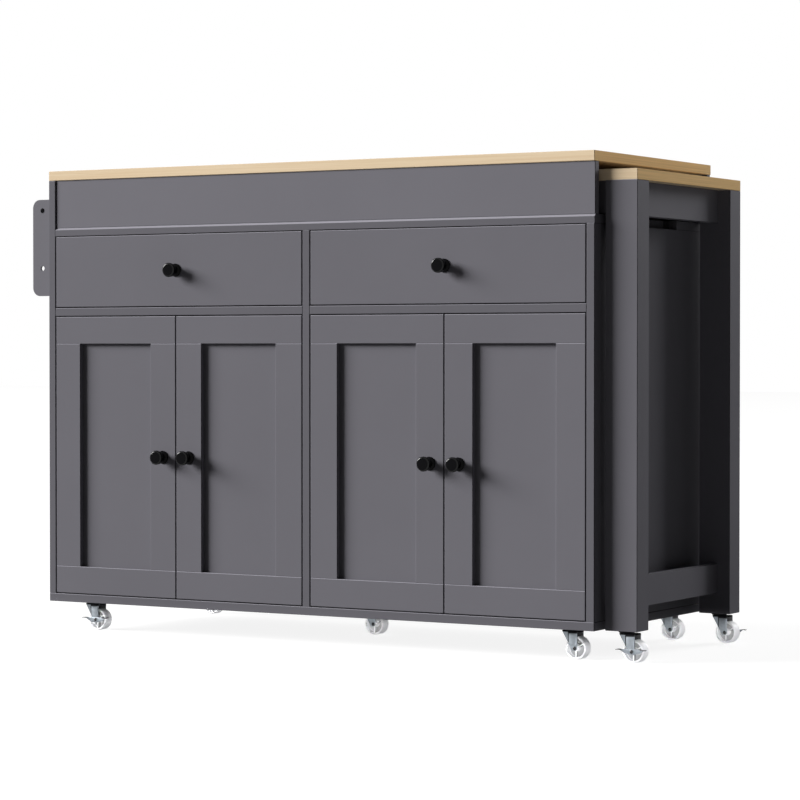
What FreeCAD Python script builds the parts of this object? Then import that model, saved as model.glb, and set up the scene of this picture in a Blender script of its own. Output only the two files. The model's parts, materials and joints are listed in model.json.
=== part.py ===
"""Rolling kitchen island: a painted board cabinet on swivel casters, with two drawers, four
inset doors, a towel rack on its left end and a table that pulls out of its right end.

Millimetres. X runs along the cabinet, the front faces -Y, Z is up. The origin is on the
floor under the middle of the whole thing, with the table pushed in.
"""
import FreeCAD, Part
import os
import Sketcher

VECTOR = FreeCAD.Vector
DOC = FreeCAD.newDocument("rolling_kitchen_island")

# Driving dimensions: alias, value, what it is
SIZES = (
    ("cabinet_width", "1232", "cabinet, left side to right side"),
    ("cabinet_depth", "502", "cabinet, front to back"),
    ("board", "16", "thickness of the cabinet's boards"),
    ("worktop_thickness", "19", "worktop board"),
    ("edge_ease", "0.8", "small bevel on every board's edges"),
    ("caster_height", "57.5", "floor to the underside of the bottom panel and of the table legs"),
    ("door_height", "556", "height of a door"),
    ("drawer_height", "141", "height of a drawer front"),
    ("recess_height", "96", "clear height between deck and worktop, where the table nests"),
    ("door_gap", "2", "gap round each door and drawer front"),
    ("back_thickness", "5", "back panel"),
    ("mid_rail_depth", "70", "rail between drawer and doors, front to back"),
    ("deck_round", "4", "bevel on the deck's top front edge"),
    ("notch_length", "191", "hand notch in the deck's right end"),
    ("notch_depth", "24", "how far the notch reaches in"),
    ("notch_round", "8", "inner corners of the notch"),
    ("fascia_thickness", "15", "long boards that close the recess at front and back"),
    ("fascia_setback", "3", "fascia behind the cabinet's face"),
    ("fascia_end_gap", "2", "gap between fascia and left side panel"),
    # Shelves and their pins
    ("shelf_level", "272", "top of the bottom panel to the underside of a shelf"),
    ("shelf_front_gap", "60", "shelf behind the cabinet's face"),
    ("shelf_side_gap", "1", "gap at each end of a shelf and behind it"),
    ("pin_radius", "2.5", "shelf pin shank"),
    ("pin_length", "7", "shank in the panel"),
    ("pin_head_radius", "4", "shelf pin head"),
    ("pin_head_length", "8", "head under the shelf"),
    ("pin_inset", "45", "pin from the shelf's front and rear edge"),
    ("socket_extra", "0.5", "socket deeper than the shank"),
    # Doors
    ("stile_width", "60", "upright member of a door"),
    ("rail_width", "54", "cross member of a door"),
    ("panel_thickness", "6", "door panel, flush with the back of the frame"),
    ("rebate_width", "8", "ledge that holds the panel"),
    # Concealed hinges
    ("hinge_end_inset", "100", "hinge cup from the end of the door"),
    ("cup_inset", "21.5", "cup centre and pivot from the door's edge"),
    ("pivot_depth", "8", "pivot behind the door's face"),
    ("cup_radius", "17.5", "bore in the stile"),
    ("cup_skin", "3.5", "wood left in front of the cup"),
    ("cup_fit", "0.05", "cup in its bore"),
    ("cup_sheet", "0.9", "wall of the cup"),
    ("cup_flange_radius", "20", "flange on the back of the stile"),
    ("hinge_pin_radius", "1.5", "pin across the cup"),
    ("hinge_pin_fit", "0.05", "eye round the pin"),
    ("eye_radius", "3", "end of the hinge arm"),
    ("arm_width", "12", "hinge arm"),
    ("arm_sheet", "2.4", "hinge arm"),
    ("arm_tail", "62", "end of the arm behind the pivot"),
    ("arm_bend", "31", "where the arm leaves the mounting plate, behind the pivot"),
    ("arm_knee", "11", "arm's elbow from the pivot, across the bay"),
    ("plate_sheet", "2", "mounting plate"),
    ("plate_length", "32", "mounting plate"),
    ("plate_height", "36", "mounting plate"),
    # Drawers
    ("drawer_back_room", "81", "drawer box to the back panel"),
    ("drawer_box_height", "100", "drawer box"),
    ("drawer_wall", "12", "sides and ends of the drawer box"),
    ("drawer_floor", "5", "drawer bottom"),
    ("drawer_floor_drop", "8", "underside of the sides to the drawer bottom"),
    ("runner_space", "12.7", "room for a runner beside the box"),
    ("runner_height", "45", "cabinet half of a runner"),
    ("runner_flange", "10", "flanges of each half"),
    ("runner_sheet", "1.2", "steel of the runner"),
    ("runner_play", "0.3", "between the two halves"),
    # Knobs
    ("knob_reach", "27", "knob in front of the door"),
    ("knob_base_radius", "13", "flange on the door"),
    ("knob_base_thickness", "4", "flange"),
    ("knob_neck_radius", "7.5", "neck"),
    ("knob_head_radius", "14", "head"),
    ("knob_head_thickness", "8", "cylindrical part of the head"),
    ("knob_flare", "5", "length of the flare behind the head"),
    ("knob_bevel", "1.8", "bevel round the face"),
    # Towel rack
    ("rack_reach", "48", "end plates, out from the left side"),
    ("rack_thickness", "4.5", "end plates"),
    ("rack_height", "195", "end plates"),
    ("rack_drop", "37", "worktop's underside to the top of the end plates"),
    ("rack_corner", "17", "rounded outer corners"),
    ("rack_setback", "10", "end plate behind the cabinet's face"),
    ("rack_flange", "22", "foot that lies on the side panel"),
    ("rack_hole_radius", "5", "both holes"),
    ("rack_hole_drop", "22", "top of the plate to the upper hole"),
    ("rack_hole_spacing", "117", "upper to lower hole"),
    ("towel_bar_fit", "0.05", "bar in its holes"),
    ("bar_overhang", "0.6", "bar past the outer face of each plate"),
    # Table
    ("table_gap", "10", "cabinet's side to the legs, pushed in"),
    ("table_inset", "24.5", "table behind the cabinet's face, and ahead of its back"),
    ("table_top_thickness", "20", "table top"),
    ("table_top_gap", "14.5", "table top to the worktop above it"),
    ("table_tail_gap", "12", "table's inner end to the left side panel"),
    ("leg_width", "64", "leg along X"),
    ("leg_depth", "48", "leg along Y"),
    ("apron_thickness", "16", "boards under the table top and between the legs"),
    ("apron_inset", "25.5", "end boards behind the legs' outer face"),
    ("apron_height", "63", "end board under the table top"),
    ("stretcher_height", "57", "low board between the legs"),
    ("stretcher_level", "39.5", "foot of the legs to the low board"),
    ("side_rail_inset", "15", "long rails behind the table top's edge"),
    ("glide_thickness", "2", "plastic glide under a rail"),
    ("glide_length", "40", "glide along the rail"),
    ("glide_play", "0.3", "glide over the deck"),
    ("stop_length", "30", "stop blocks along X"),
    ("stop_height", "40", "stop blocks"),
    ("stop_play", "5", "stop block to the face it passes"),
    ("stop_inset", "16", "fascia's stop block behind the cabinet's right side"),
    ("rail_stop_inset", "127.7", "rails' stop block from the table's inner end"),
    # Casters
    ("caster_inset", "74", "swivel axis from the cabinet's ends"),
    ("caster_row", "48", "swivel axis from the cabinet's face and back"),
    ("caster_middle_shift", "11", "fifth caster, left of the cabinet's middle"),
    ("caster_trail", "18", "axle behind the swivel axis"),
    ("stem_radius", "4", "stem in the board"),
    ("stem_length", "13", "stem in the board"),
    ("stem_room", "1", "bore deeper than the stem"),
    ("stem_fit", "0.05", "stem in its bore"),
    ("collar_radius", "15", "dust collar"),
    ("collar_height", "4", "dust collar"),
    ("collar_bevel", "1", "dust collar"),
    ("kingpin_radius", "3.5", "pin that the fork turns on"),
    ("kingpin_head_radius", "6", "head under the crown"),
    ("kingpin_head", "2", "head under the crown"),
    ("swivel_play", "0.3", "fork above and below"),
    ("bearing_fit", "0.05", "radial play of kingpin, axle and brake"),
    ("fork_sheet", "2", "steel of the fork"),
    ("fork_room", "24", "clear width between the cheeks"),
    ("fork_nose", "14", "crown ahead of the swivel axis"),
    ("fork_nose_round", "11", "front corners of the crown"),
    ("fork_heel", "4", "cheek behind the axle"),
    ("fork_chin", "5", "cheek below the axle"),
    ("cheek_width", "16", "raised strip of a cheek"),
    ("cheek_raise", "0.8", "strip stands out of the cheek"),
    ("cheek_top_reach", "10", "cheek's top ahead of the swivel axis"),
    ("heel_flange", "9.5", "bent edge behind the crown"),
    ("axle_radius", "2.5", "axle"),
    ("axle_head_radius", "4", "axle's heads"),
    ("axle_head", "2", "axle's heads"),
    ("wheel_radius", "21", "wheel"),
    ("wheel_width", "22", "rim"),
    ("rim_thickness", "3.6", "rim"),
    ("rim_bevel", "1.6", "shoulder of the tread"),
    ("hub_radius", "6", "hub"),
    ("hub_play", "0.3", "hub to each cheek"),
    ("web_thickness", "2.4", "disc between hub and rim"),
    ("rib_thickness", "2", "ribs on the disc"),
    ("rib_width", "16", "ribs across the wheel"),
    ("brake_sheet", "1.6", "brake pedal"),
    ("brake_half_length", "22", "pedal's plate from the axle"),
    ("brake_half_height", "5.2", "pedal's plate at the axle"),
    ("brake_wing_reach", "30", "tip of a wing from the axle"),
    ("brake_wing_width", "8", "wings stand out"),
    ("brake_rise", "3.5", "wings above the axle"),
)

# Derived places and sizes, all from the driving ones: name, expression
LAYOUT = (
    ("table_reach", "Sizes.table_gap + Sizes.leg_width / 2 + Sizes.caster_trail + Sizes.brake_wing_reach"),
    ("left", "(Sizes.rack_reach - Layout.table_reach - Sizes.cabinet_width) / 2"),
    ("right", "Layout.left + Sizes.cabinet_width"),
    ("front", "(Sizes.knob_reach - Sizes.cabinet_depth) / 2"),
    ("back", "Layout.front + Sizes.cabinet_depth"),
    ("inner_left", "Layout.left + Sizes.board"),
    ("inner_right", "Layout.right - Sizes.board"),
    ("inner_width", "Sizes.cabinet_width - 2 * Sizes.board"),
    ("inner_depth", "Sizes.cabinet_depth - Sizes.back_thickness"),
    ("bay_width", "(Layout.inner_width - Sizes.board) / 2"),
    ("bay_left", "Layout.inner_left"),
    ("bay_right", "Layout.inner_left + Layout.bay_width + Sizes.board"),
    ("divider_left", "Layout.inner_left + Layout.bay_width"),
    ("under", "Sizes.caster_height"),
    ("floor_top", "Layout.under + Sizes.board"),
    ("door_foot", "Layout.floor_top + Sizes.door_gap"),
    ("rail_under", "Layout.door_foot + Sizes.door_height + Sizes.door_gap"),
    ("rail_top", "Layout.rail_under + Sizes.board"),
    ("drawer_foot", "Layout.rail_top + Sizes.door_gap"),
    ("deck_under", "Layout.drawer_foot + Sizes.drawer_height + Sizes.door_gap"),
    ("deck_top", "Layout.deck_under + Sizes.board"),
    ("worktop_under", "Layout.deck_top + Sizes.recess_height"),
    ("door_width", "(Layout.bay_width - 3 * Sizes.door_gap) / 2"),
    ("drawer_width", "Layout.bay_width - 2 * Sizes.door_gap"),
    ("shelf_under", "Layout.floor_top + Sizes.shelf_level"),
    ("shelf_front", "Layout.front + Sizes.shelf_front_gap"),
    ("shelf_depth", "Layout.inner_depth - Sizes.shelf_front_gap - Sizes.shelf_side_gap"),
    ("pin_level", "Layout.shelf_under - Sizes.pin_head_radius"),
    ("pin_front", "Sizes.shelf_front_gap + Sizes.pin_inset"),
    ("pin_back", "Sizes.shelf_front_gap + Layout.shelf_depth - Sizes.pin_inset"),
    ("table_under", "Layout.worktop_under - Sizes.table_top_gap - Sizes.table_top_thickness"),
    ("table_end", "Layout.right + Sizes.table_gap + Sizes.leg_width"),
    ("table_tail", "Layout.inner_left + Sizes.table_tail_gap"),
    ("table_front", "Layout.front + Sizes.table_inset"),
    ("table_width", "Sizes.cabinet_depth - 2 * Sizes.table_inset"),
    ("leg_left", "Layout.right + Sizes.table_gap"),
    ("rail_foot", "Layout.deck_top + Sizes.glide_play + Sizes.glide_thickness"),
    ("rail_front", "Layout.table_front + Sizes.side_rail_inset"),
    ("rail_back", "Layout.table_front + Layout.table_width - Sizes.side_rail_inset - Sizes.apron_thickness"),
    ("box_width", "Layout.bay_width - 2 * Sizes.runner_space"),
    ("box_foot", "Layout.drawer_foot + (Sizes.drawer_height - Sizes.drawer_box_height) / 2"),
    ("drawer_depth", "Layout.inner_depth - Sizes.board - Sizes.drawer_back_room"),
    ("runner_level", "Layout.box_foot + Sizes.drawer_box_height / 2"),
    ("rack_foot", "Layout.worktop_under - Sizes.rack_drop - Sizes.rack_height"),
    ("axle_drop", "Sizes.caster_height - Sizes.wheel_radius"),
    ("crown_top", "Sizes.collar_height + Sizes.swivel_play"),
    ("crown_foot", "Layout.crown_top + Sizes.fork_sheet"),
    ("cheek_inner", "Sizes.fork_room / 2"),
    ("cheek_outer", "Layout.cheek_inner + Sizes.fork_sheet"),
    ("cheek_face", "Layout.cheek_outer + Sizes.cheek_raise"),
    ("pedal_inner", "Layout.cheek_face + Sizes.swivel_play"),
    ("pedal_outer", "Layout.pedal_inner + Sizes.brake_sheet"),
)

FULL_TURN = 360
HALF_TURN = 180
QUARTER_TURN = 90
WHEEL_RIBS = 3

# Two corners of a solid nearer than this are at the same place
EDGE_REACH = 0.01

# Where the brake pedal starts to narrow, from the axle to its end
PEDAL_BELLY_SHARE = 0.35

# Where the door panel's edge lies behind a stile
PANEL_INSET = "Sizes.stile_width - Sizes.rebate_width"

SIDES = ("left", "right")

# Doors from left to right: bay, place in the bay, hinged at its left edge
DOORS = (
    ("left", 0, True),
    ("left", 1, False),
    ("right", 0, True),
    ("right", 1, False),
)

# Casters: name, swivel axis x and y, side of the brake pedal (-1 front, 1 back, 0 none)
CABINET_CASTERS = (
    ("front_left", "Layout.left + Sizes.caster_inset", "Layout.front + Sizes.caster_row", -1),
    ("front_right", "Layout.right - Sizes.caster_inset", "Layout.front + Sizes.caster_row", 0),
    ("middle", "(Layout.left + Layout.right) / 2 - Sizes.caster_middle_shift",
     "(Layout.front + Layout.back) / 2", 0),
    ("rear_left", "Layout.left + Sizes.caster_inset", "Layout.back - Sizes.caster_row", 0),
    ("rear_right", "Layout.right - Sizes.caster_inset", "Layout.back - Sizes.caster_row", 0),
)
TABLE_CASTERS = (
    ("table_front", "Layout.leg_left + Sizes.leg_width / 2", "Layout.table_front + Sizes.leg_depth / 2", -1),
    ("table_rear", "Layout.leg_left + Sizes.leg_width / 2",
     "Layout.table_front + Layout.table_width - Sizes.leg_depth / 2", 1),
)

NODES = []


# Helpers
def fill_sheets():
    """The driving dimensions, and the places worked out from them."""
    sheet = DOC.addObject("Spreadsheet::Sheet", "Sizes")
    for row, (alias, value, note) in enumerate(SIZES, start=1):
        sheet.set("A%d" % row, alias)
        sheet.set("B%d" % row, value)
        sheet.set("C%d" % row, note)
        sheet.setAlias("B%d" % row, alias)
    DOC.recompute()
    layout = DOC.addObject("App::VarSet", "Layout")
    for name, _ in LAYOUT:
        layout.addProperty("App::PropertyFloat", name, "Layout")
    for name, expression in LAYOUT:
        layout.setExpression(name, expression.replace("Layout.", ""))
    DOC.recompute()


def total(*terms):
    """One expression that adds the given ones."""
    return " + ".join("(%s)" % term for term in terms)


def minus(term):
    return "-(%s)" % term


def new_body(label):
    body = DOC.addObject("PartDesign::Body", label)
    body.Label = label
    return body


def new_sketch(body, role, level=None):
    """A sketch on one of the body's own origin planes, lifted along the plane's normal."""
    sketch = body.newObject("Sketcher::SketchObject", body.Name + "_sketch")
    plane = [item for item in body.Origin.OriginFeatures if item.Role == role][0]
    sketch.AttachmentSupport = [(plane, "")]
    sketch.MapMode = "FlatFace"
    if level is not None:
        sketch.setExpression(".AttachmentOffset.Base.z", level)
    return sketch


def pin_point(sketch, edge, end, x, y):
    """Hold one point of a sketch at a place given by two expressions."""
    for kind, axis, value in (("DistanceX", -2, x), ("DistanceY", -1, y)):
        if value == "0":
            sketch.addConstraint(Sketcher.Constraint("PointOnObject", edge, end, axis))
        else:
            index = sketch.addConstraint(Sketcher.Constraint(kind, -1, 1, edge, end, 1.0))
            sketch.setExpression("Constraints[%d]" % index, value)


def outline(sketch, points):
    """A closed run of straight lines through points given as pairs of expressions."""
    first = sketch.GeometryCount
    count = len(points)
    for step in range(count):
        start = VECTOR(step, step * step, 0)
        end = VECTOR(step + 1, (step + 1) ** 2, 0)
        sketch.addGeometry(Part.LineSegment(start, end))
    for step in range(count):
        following = first + (step + 1) % count
        sketch.addConstraint(Sketcher.Constraint("Coincident", first + step, 2, following, 1))
    for step, (x, y) in enumerate(points):
        pin_point(sketch, first + step, 1, x, y)


def rectangle(sketch, x, y, width, height):
    far_x = width if x == "0" else total(x, width)
    far_y = height if y == "0" else total(y, height)
    outline(sketch, [(x, y), (far_x, y), (far_x, far_y), (x, far_y)])


def circle(sketch, x, y, radius):
    edge = sketch.addGeometry(Part.Circle(VECTOR(0, 0, 0), VECTOR(0, 0, 1), 1))
    pin_point(sketch, edge, 3, x, y)
    index = sketch.addConstraint(Sketcher.Constraint("Radius", edge, 1.0))
    sketch.setExpression("Constraints[%d]" % index, radius)


def pad(body, sketch, length, midplane=False, reverse=False):
    feature = body.newObject("PartDesign::Pad", body.Name + "_pad")
    feature.Profile = sketch
    feature.setExpression("Length", length)
    feature.Midplane = midplane
    feature.Reversed = reverse
    return feature


def pocket(body, sketch, depth, reverse=False, midplane=False):
    feature = body.newObject("PartDesign::Pocket", body.Name + "_pocket")
    feature.Profile = sketch
    feature.setExpression("Length", depth)
    feature.Reversed = reverse
    feature.Midplane = midplane
    return feature


def revolution(body, sketch):
    """A full turn about the sketch's own upright axis."""
    feature = body.newObject("PartDesign::Revolution", body.Name + "_turn")
    feature.Profile = sketch
    feature.ReferenceAxis = (sketch, ["V_Axis"])
    feature.Angle = FULL_TURN
    return feature


def ease(body, base, size="Sizes.edge_ease"):
    """Bevel every edge of a board."""
    feature = body.newObject("PartDesign::Chamfer", body.Name + "_ease")
    feature.Base = (base, [""])
    feature.UseAllEdges = True
    feature.setExpression("Size", size)
    return feature


def round_edges(body, base, radius, wanted, kind="PartDesign::Fillet"):
    """Round (or bevel) the edges whose end points pass a test."""
    DOC.recompute()
    names = []
    for number, edge in enumerate(base.Shape.Edges, start=1):
        points = [vertex.Point for vertex in edge.Vertexes]
        if len(points) == 2 and wanted(points[0], points[1]):
            names.append("Edge%d" % number)
    feature = body.newObject(kind, body.Name + "_round")
    feature.Base = (base, names)
    feature.setExpression("Radius" if kind == "PartDesign::Fillet" else "Size", radius)
    return feature


def place(body, x, y, z, axis=(0, 0, 1), angle=0):
    body.Placement = FreeCAD.Placement(VECTOR(0, 0, 0), FreeCAD.Rotation(VECTOR(*axis), angle))
    for letter, value in (("x", x), ("y", y), ("z", z)):
        if value != "0":
            body.setExpression(".Placement.Base." + letter, value)
    return body


def block(label, corner, size):
    """A plain board with eased edges, from its low corner and its three sizes."""
    body = new_body(label)
    sketch = new_sketch(body, "XY_Plane")
    rectangle(sketch, "0", "0", size[0], size[1])
    ease(body, pad(body, sketch, size[2]))
    return place(body, *corner)


def node(label, *pieces):
    """One file of the kit: a body, or several bodies that share a name."""
    if len(pieces) == 1:
        NODES.append(pieces[0])
        return
    group = DOC.addObject("Part::Compound", label)
    group.Label = label
    group.Links = list(pieces)
    NODES.append(group)


# Cabinet boards
def make_worktop():
    node("worktop", block(
        "worktop",
        ("Layout.left", "Layout.front", "Layout.worktop_under"),
        ("Sizes.cabinet_width", "Sizes.cabinet_depth", "Sizes.worktop_thickness")))


def pin_sockets(body, level, reverse):
    """The two shelf pin sockets in one face of an upright panel that stands on the bottom panel."""
    sketch = new_sketch(body, "YZ_Plane", level)
    for depth in ("Layout.pin_front", "Layout.pin_back"):
        circle(sketch, depth, "Layout.pin_level - Layout.floor_top", "Sizes.pin_radius")
    pocket(body, sketch, "Sizes.pin_length + Sizes.socket_extra", reverse)


def make_side_panels():
    left = block(
        "left_side_panel",
        ("Layout.left", "Layout.front", "Layout.floor_top"),
        ("Sizes.board", "Sizes.cabinet_depth", "Layout.worktop_under - Layout.floor_top"))
    pin_sockets(left, "Sizes.board", False)
    right = block(
        "right_side_panel",
        ("Layout.inner_right", "Layout.front", "Layout.floor_top"),
        ("Sizes.board", "Sizes.cabinet_depth", "Layout.deck_under - Layout.floor_top"))
    pin_sockets(right, None, True)
    divider = block(
        "centre_divider",
        ("Layout.divider_left", "Layout.front", "Layout.floor_top"),
        ("Sizes.board", "Layout.inner_depth", "Layout.deck_under - Layout.floor_top"))
    pin_sockets(divider, "Sizes.board", False)
    pin_sockets(divider, None, True)
    node("left_side_panel", left)
    node("right_side_panel", right)
    node("centre_divider", divider)


def stem_bores(body, places):
    """Blind bores for the caster stems, up from the underside."""
    sketch = new_sketch(body, "XY_Plane")
    for x, y in places:
        circle(sketch, x, y, "Sizes.stem_radius + Sizes.stem_fit")
    pocket(body, sketch, "Sizes.stem_length + Sizes.stem_room", reverse=True)


def make_bottom_panel():
    panel = block(
        "bottom_panel",
        ("Layout.left", "Layout.front", "Layout.under"),
        ("Sizes.cabinet_width", "Sizes.cabinet_depth", "Sizes.board"))
    stem_bores(panel, [
        (total(x, "-Layout.left"), total(y, "-Layout.front")) for _, x, y, _ in CABINET_CASTERS])
    node("bottom_panel", panel)


def make_deck():
    """The deck runs over the right side panel, with a bevelled top front edge and a hand notch
    in the middle of its right end."""
    body = new_body("deck_panel")
    sketch = new_sketch(body, "XY_Plane")
    width = "Layout.right - Layout.inner_left"
    rectangle(sketch, "0", "0", width, "Sizes.cabinet_depth")
    slab = pad(body, sketch, "Sizes.board")
    bevelled = round_edges(
        body, slab, "Sizes.deck_round",
        lambda a, b: a.y < EDGE_REACH and b.y < EDGE_REACH and a.z > EDGE_REACH and b.z > EDGE_REACH,
        "PartDesign::Chamfer")
    cut = new_sketch(body, "XY_Plane", "Sizes.board")
    start = total(width, "-Sizes.notch_depth")
    low = "(Sizes.cabinet_depth - Sizes.notch_length) / 2"
    bend = "Sizes.notch_round"
    outline(cut, [
        (total(width, bend), low),
        (total(width, bend), total(low, "Sizes.notch_length")),
        (total(start, bend), total(low, "Sizes.notch_length")),
        (start, total(low, "Sizes.notch_length", minus(bend))),
        (start, total(low, bend)),
        (total(start, bend), low)])
    body.Tip = bevelled
    pocket(body, cut, "Sizes.board")
    node("deck_panel", place(body, "Layout.inner_left", "Layout.front", "Layout.deck_under"))


def make_mid_rails():
    size = ("Layout.bay_width", "Sizes.mid_rail_depth", "Sizes.board")
    node("mid_rails", *[
        block("mid_rail_" + side, ("Layout.bay_" + side, "Layout.front", "Layout.rail_under"), size)
        for side in SIDES])


def make_fascias():
    """Front and rear fascia, each with the block that stops the table."""
    start = total("Layout.inner_left", "Sizes.fascia_end_gap")
    size = (total("Layout.right", minus(start)), "Sizes.fascia_thickness", "Sizes.recess_height")
    front = total("Layout.front", "Sizes.fascia_setback")
    back = total("Layout.back", "-Sizes.fascia_setback", "-Sizes.fascia_thickness")
    reach = "Sizes.table_inset + Sizes.side_rail_inset - Sizes.fascia_setback" \
        " - Sizes.fascia_thickness - Sizes.stop_play"
    stop = ("Sizes.stop_length", reach, "Sizes.stop_height")
    stop_x = "Layout.right - Sizes.stop_inset - Sizes.stop_length"
    node("front_fascia",
         block("front_fascia_board", (start, front, "Layout.deck_top"), size),
         block("front_stop", (stop_x, total(front, "Sizes.fascia_thickness"), "Layout.deck_top"), stop))
    node("rear_fascia",
         block("rear_fascia_board", (start, back, "Layout.deck_top"), size),
         block("rear_stop", (stop_x, total(back, minus(reach)), "Layout.deck_top"), stop))


def make_back_panel():
    node("back_panel", block(
        "back_panel",
        ("Layout.inner_left", "Layout.front + Layout.inner_depth", "Layout.floor_top"),
        ("Layout.inner_width", "Sizes.back_thickness", "Layout.deck_under - Layout.floor_top")))


def make_shelves():
    size = ("Layout.bay_width - 2 * Sizes.shelf_side_gap", "Layout.shelf_depth", "Sizes.board")
    node("shelves", *[
        block("shelf_" + side,
              ("Layout.bay_%s + Sizes.shelf_side_gap" % side, "Layout.shelf_front", "Layout.shelf_under"),
              size)
        for side in SIDES])


def shelf_pin(label, x, y, outward):
    """A turned pin: shank in the panel, head under the shelf."""
    body = new_body(label)
    sketch = new_sketch(body, "XZ_Plane")
    outline(sketch, [
        ("0", minus("Sizes.pin_length")),
        ("Sizes.pin_radius", minus("Sizes.pin_length")),
        ("Sizes.pin_radius", "0"),
        ("Sizes.pin_head_radius", "0"),
        ("Sizes.pin_head_radius", "Sizes.pin_head_length"),
        ("0", "Sizes.pin_head_length")])
    revolution(body, sketch)
    return place(body, x, y, "Layout.pin_level", (0, 1, 0), QUARTER_TURN * outward)


def make_shelf_pins():
    pins = []
    for side in SIDES:
        for end in ("front", "back"):
            y = "Layout.front + Layout.pin_" + end
            name = "shelf_pin_%s_%s_" % (side, end)
            pins.append(shelf_pin(name + "left", "Layout.bay_" + side, y, 1))
            pins.append(shelf_pin(name + "right", "Layout.bay_%s + Layout.bay_width" % side, y, -1))
    node("shelf_pins", *pins)


# Towel rack
def rack_plate(label, y, inward):
    """A sheet plate with two rounded corners, two holes and a foot on the side panel. The
    plate's outer face is at y, and its foot runs inward."""
    body = new_body(label)
    sketch = new_sketch(body, "XZ_Plane")
    rectangle(sketch, minus("Sizes.rack_reach"), "0", "Sizes.rack_reach", "Sizes.rack_height")
    plate = pad(body, sketch, "Sizes.rack_thickness", reverse=inward > 0)
    corners = round_edges(
        body, plate, "Sizes.rack_corner", lambda a, b: a.x < -EDGE_REACH and b.x < -EDGE_REACH
        and abs(a.z - b.z) < EDGE_REACH)
    holes = new_sketch(body, "XZ_Plane")
    upper = "Sizes.rack_height - Sizes.rack_hole_drop"
    for height in (upper, upper + " - Sizes.rack_hole_spacing"):
        circle(holes, "-Sizes.rack_reach / 2", height, "Sizes.rack_hole_radius")
    body.Tip = corners
    pocket(body, holes, "Sizes.rack_thickness", reverse=inward < 0)
    foot = new_sketch(body, "XY_Plane")
    run = total("Sizes.rack_thickness", "Sizes.rack_flange")
    if inward > 0:
        rectangle(foot, minus("Sizes.rack_thickness"), "0", "Sizes.rack_thickness", run)
    else:
        rectangle(foot, minus("Sizes.rack_thickness"), minus(run), "Sizes.rack_thickness", run)
    pad(body, foot, "Sizes.rack_height")
    return place(body, "Layout.left", y, "Layout.rack_foot")


def make_towel_rack():
    front = "Layout.front + Sizes.rack_setback"
    back = "Layout.back - Sizes.rack_setback"
    node("rack_end_plates", rack_plate("rack_plate_front", front, 1), rack_plate("rack_plate_back", back, -1))
    bar = new_body("towel_bar")
    sketch = new_sketch(bar, "XZ_Plane")
    circle(sketch, "0", "0", "Sizes.rack_hole_radius - Sizes.towel_bar_fit")
    length = "Sizes.cabinet_depth - 2 * Sizes.rack_setback + 2 * Sizes.bar_overhang"
    pad(bar, sketch, length, reverse=True)
    node("towel_bar", place(
        bar, "Layout.left - Sizes.rack_reach / 2", total(front, "-Sizes.bar_overhang"),
        "Layout.rack_foot + Sizes.rack_height - Sizes.rack_hole_drop"))


# Doors
def stile(label, hinged, side):
    """The upright member, between the rails. Its outer edge stands at x = 0 and it runs towards
    +X (side 1) or -X (side -1). A ledge in its back holds the panel, and on the hinged side two
    bores take the hinge cups."""
    body = new_body(label)
    sketch = new_sketch(body, "XY_Plane")
    ledge = "Sizes.board - Sizes.panel_thickness"
    across = "%d * (Sizes.stile_width)" % side
    inner = "%d * (Sizes.stile_width - Sizes.rebate_width)" % side
    outline(sketch, [
        ("0", "0"),
        (across, "0"),
        (across, ledge),
        (inner, ledge),
        (inner, "Sizes.board"),
        ("0", "Sizes.board")])
    length = "Sizes.door_height - 2 * Sizes.rail_width"
    ease(body, pad(body, sketch, length))
    if hinged:
        cups = new_sketch(body, "XZ_Plane", "-Sizes.board")
        low = "Sizes.hinge_end_inset - Sizes.rail_width"
        for height in (low, total(length, minus(low))):
            circle(cups, "%d * Sizes.cup_inset" % side, height, "Sizes.cup_radius")
        pocket(body, cups, "Sizes.board - Sizes.cup_skin", reverse=True)
    return body


def rail(label, ledge_foot):
    """The cross member, the door's full width, lying with its lower edge at z = 0. A ledge in
    its back, between the stiles, holds the panel."""
    body = new_body(label)
    sketch = new_sketch(body, "XY_Plane")
    rectangle(sketch, "0", "0", "Layout.door_width", "Sizes.board")
    ease(body, pad(body, sketch, "Sizes.rail_width"))
    ledge = new_sketch(body, "XZ_Plane", "-Sizes.board")
    width = "Layout.door_width - 2 * (%s)" % PANEL_INSET
    rectangle(ledge, PANEL_INSET, ledge_foot, width, "2 * Sizes.rebate_width")
    pocket(body, ledge, "Sizes.panel_thickness", reverse=True)
    return body


def knob(label, x, y, z):
    """A turned knob that points to the front: flange, neck, flared head with a bevelled face."""
    body = new_body(label)
    sketch = new_sketch(body, "XZ_Plane")
    neck_start = total("Sizes.knob_base_thickness", "Sizes.knob_bevel")
    head_start = "Sizes.knob_reach - Sizes.knob_head_thickness"
    outline(sketch, [
        ("0", "0"),
        ("Sizes.knob_base_radius", "0"),
        ("Sizes.knob_base_radius", "Sizes.knob_base_thickness - Sizes.knob_bevel"),
        ("Sizes.knob_base_radius - Sizes.knob_bevel", "Sizes.knob_base_thickness"),
        ("Sizes.knob_neck_radius", neck_start),
        ("Sizes.knob_neck_radius", total(head_start, "-Sizes.knob_flare")),
        ("Sizes.knob_head_radius", head_start),
        ("Sizes.knob_head_radius", "Sizes.knob_reach - Sizes.knob_bevel"),
        ("Sizes.knob_head_radius - Sizes.knob_bevel", "Sizes.knob_reach"),
        ("0", "Sizes.knob_reach")])
    revolution(body, sketch)
    return place(body, x, y, z, (1, 0, 0), QUARTER_TURN)


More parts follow.
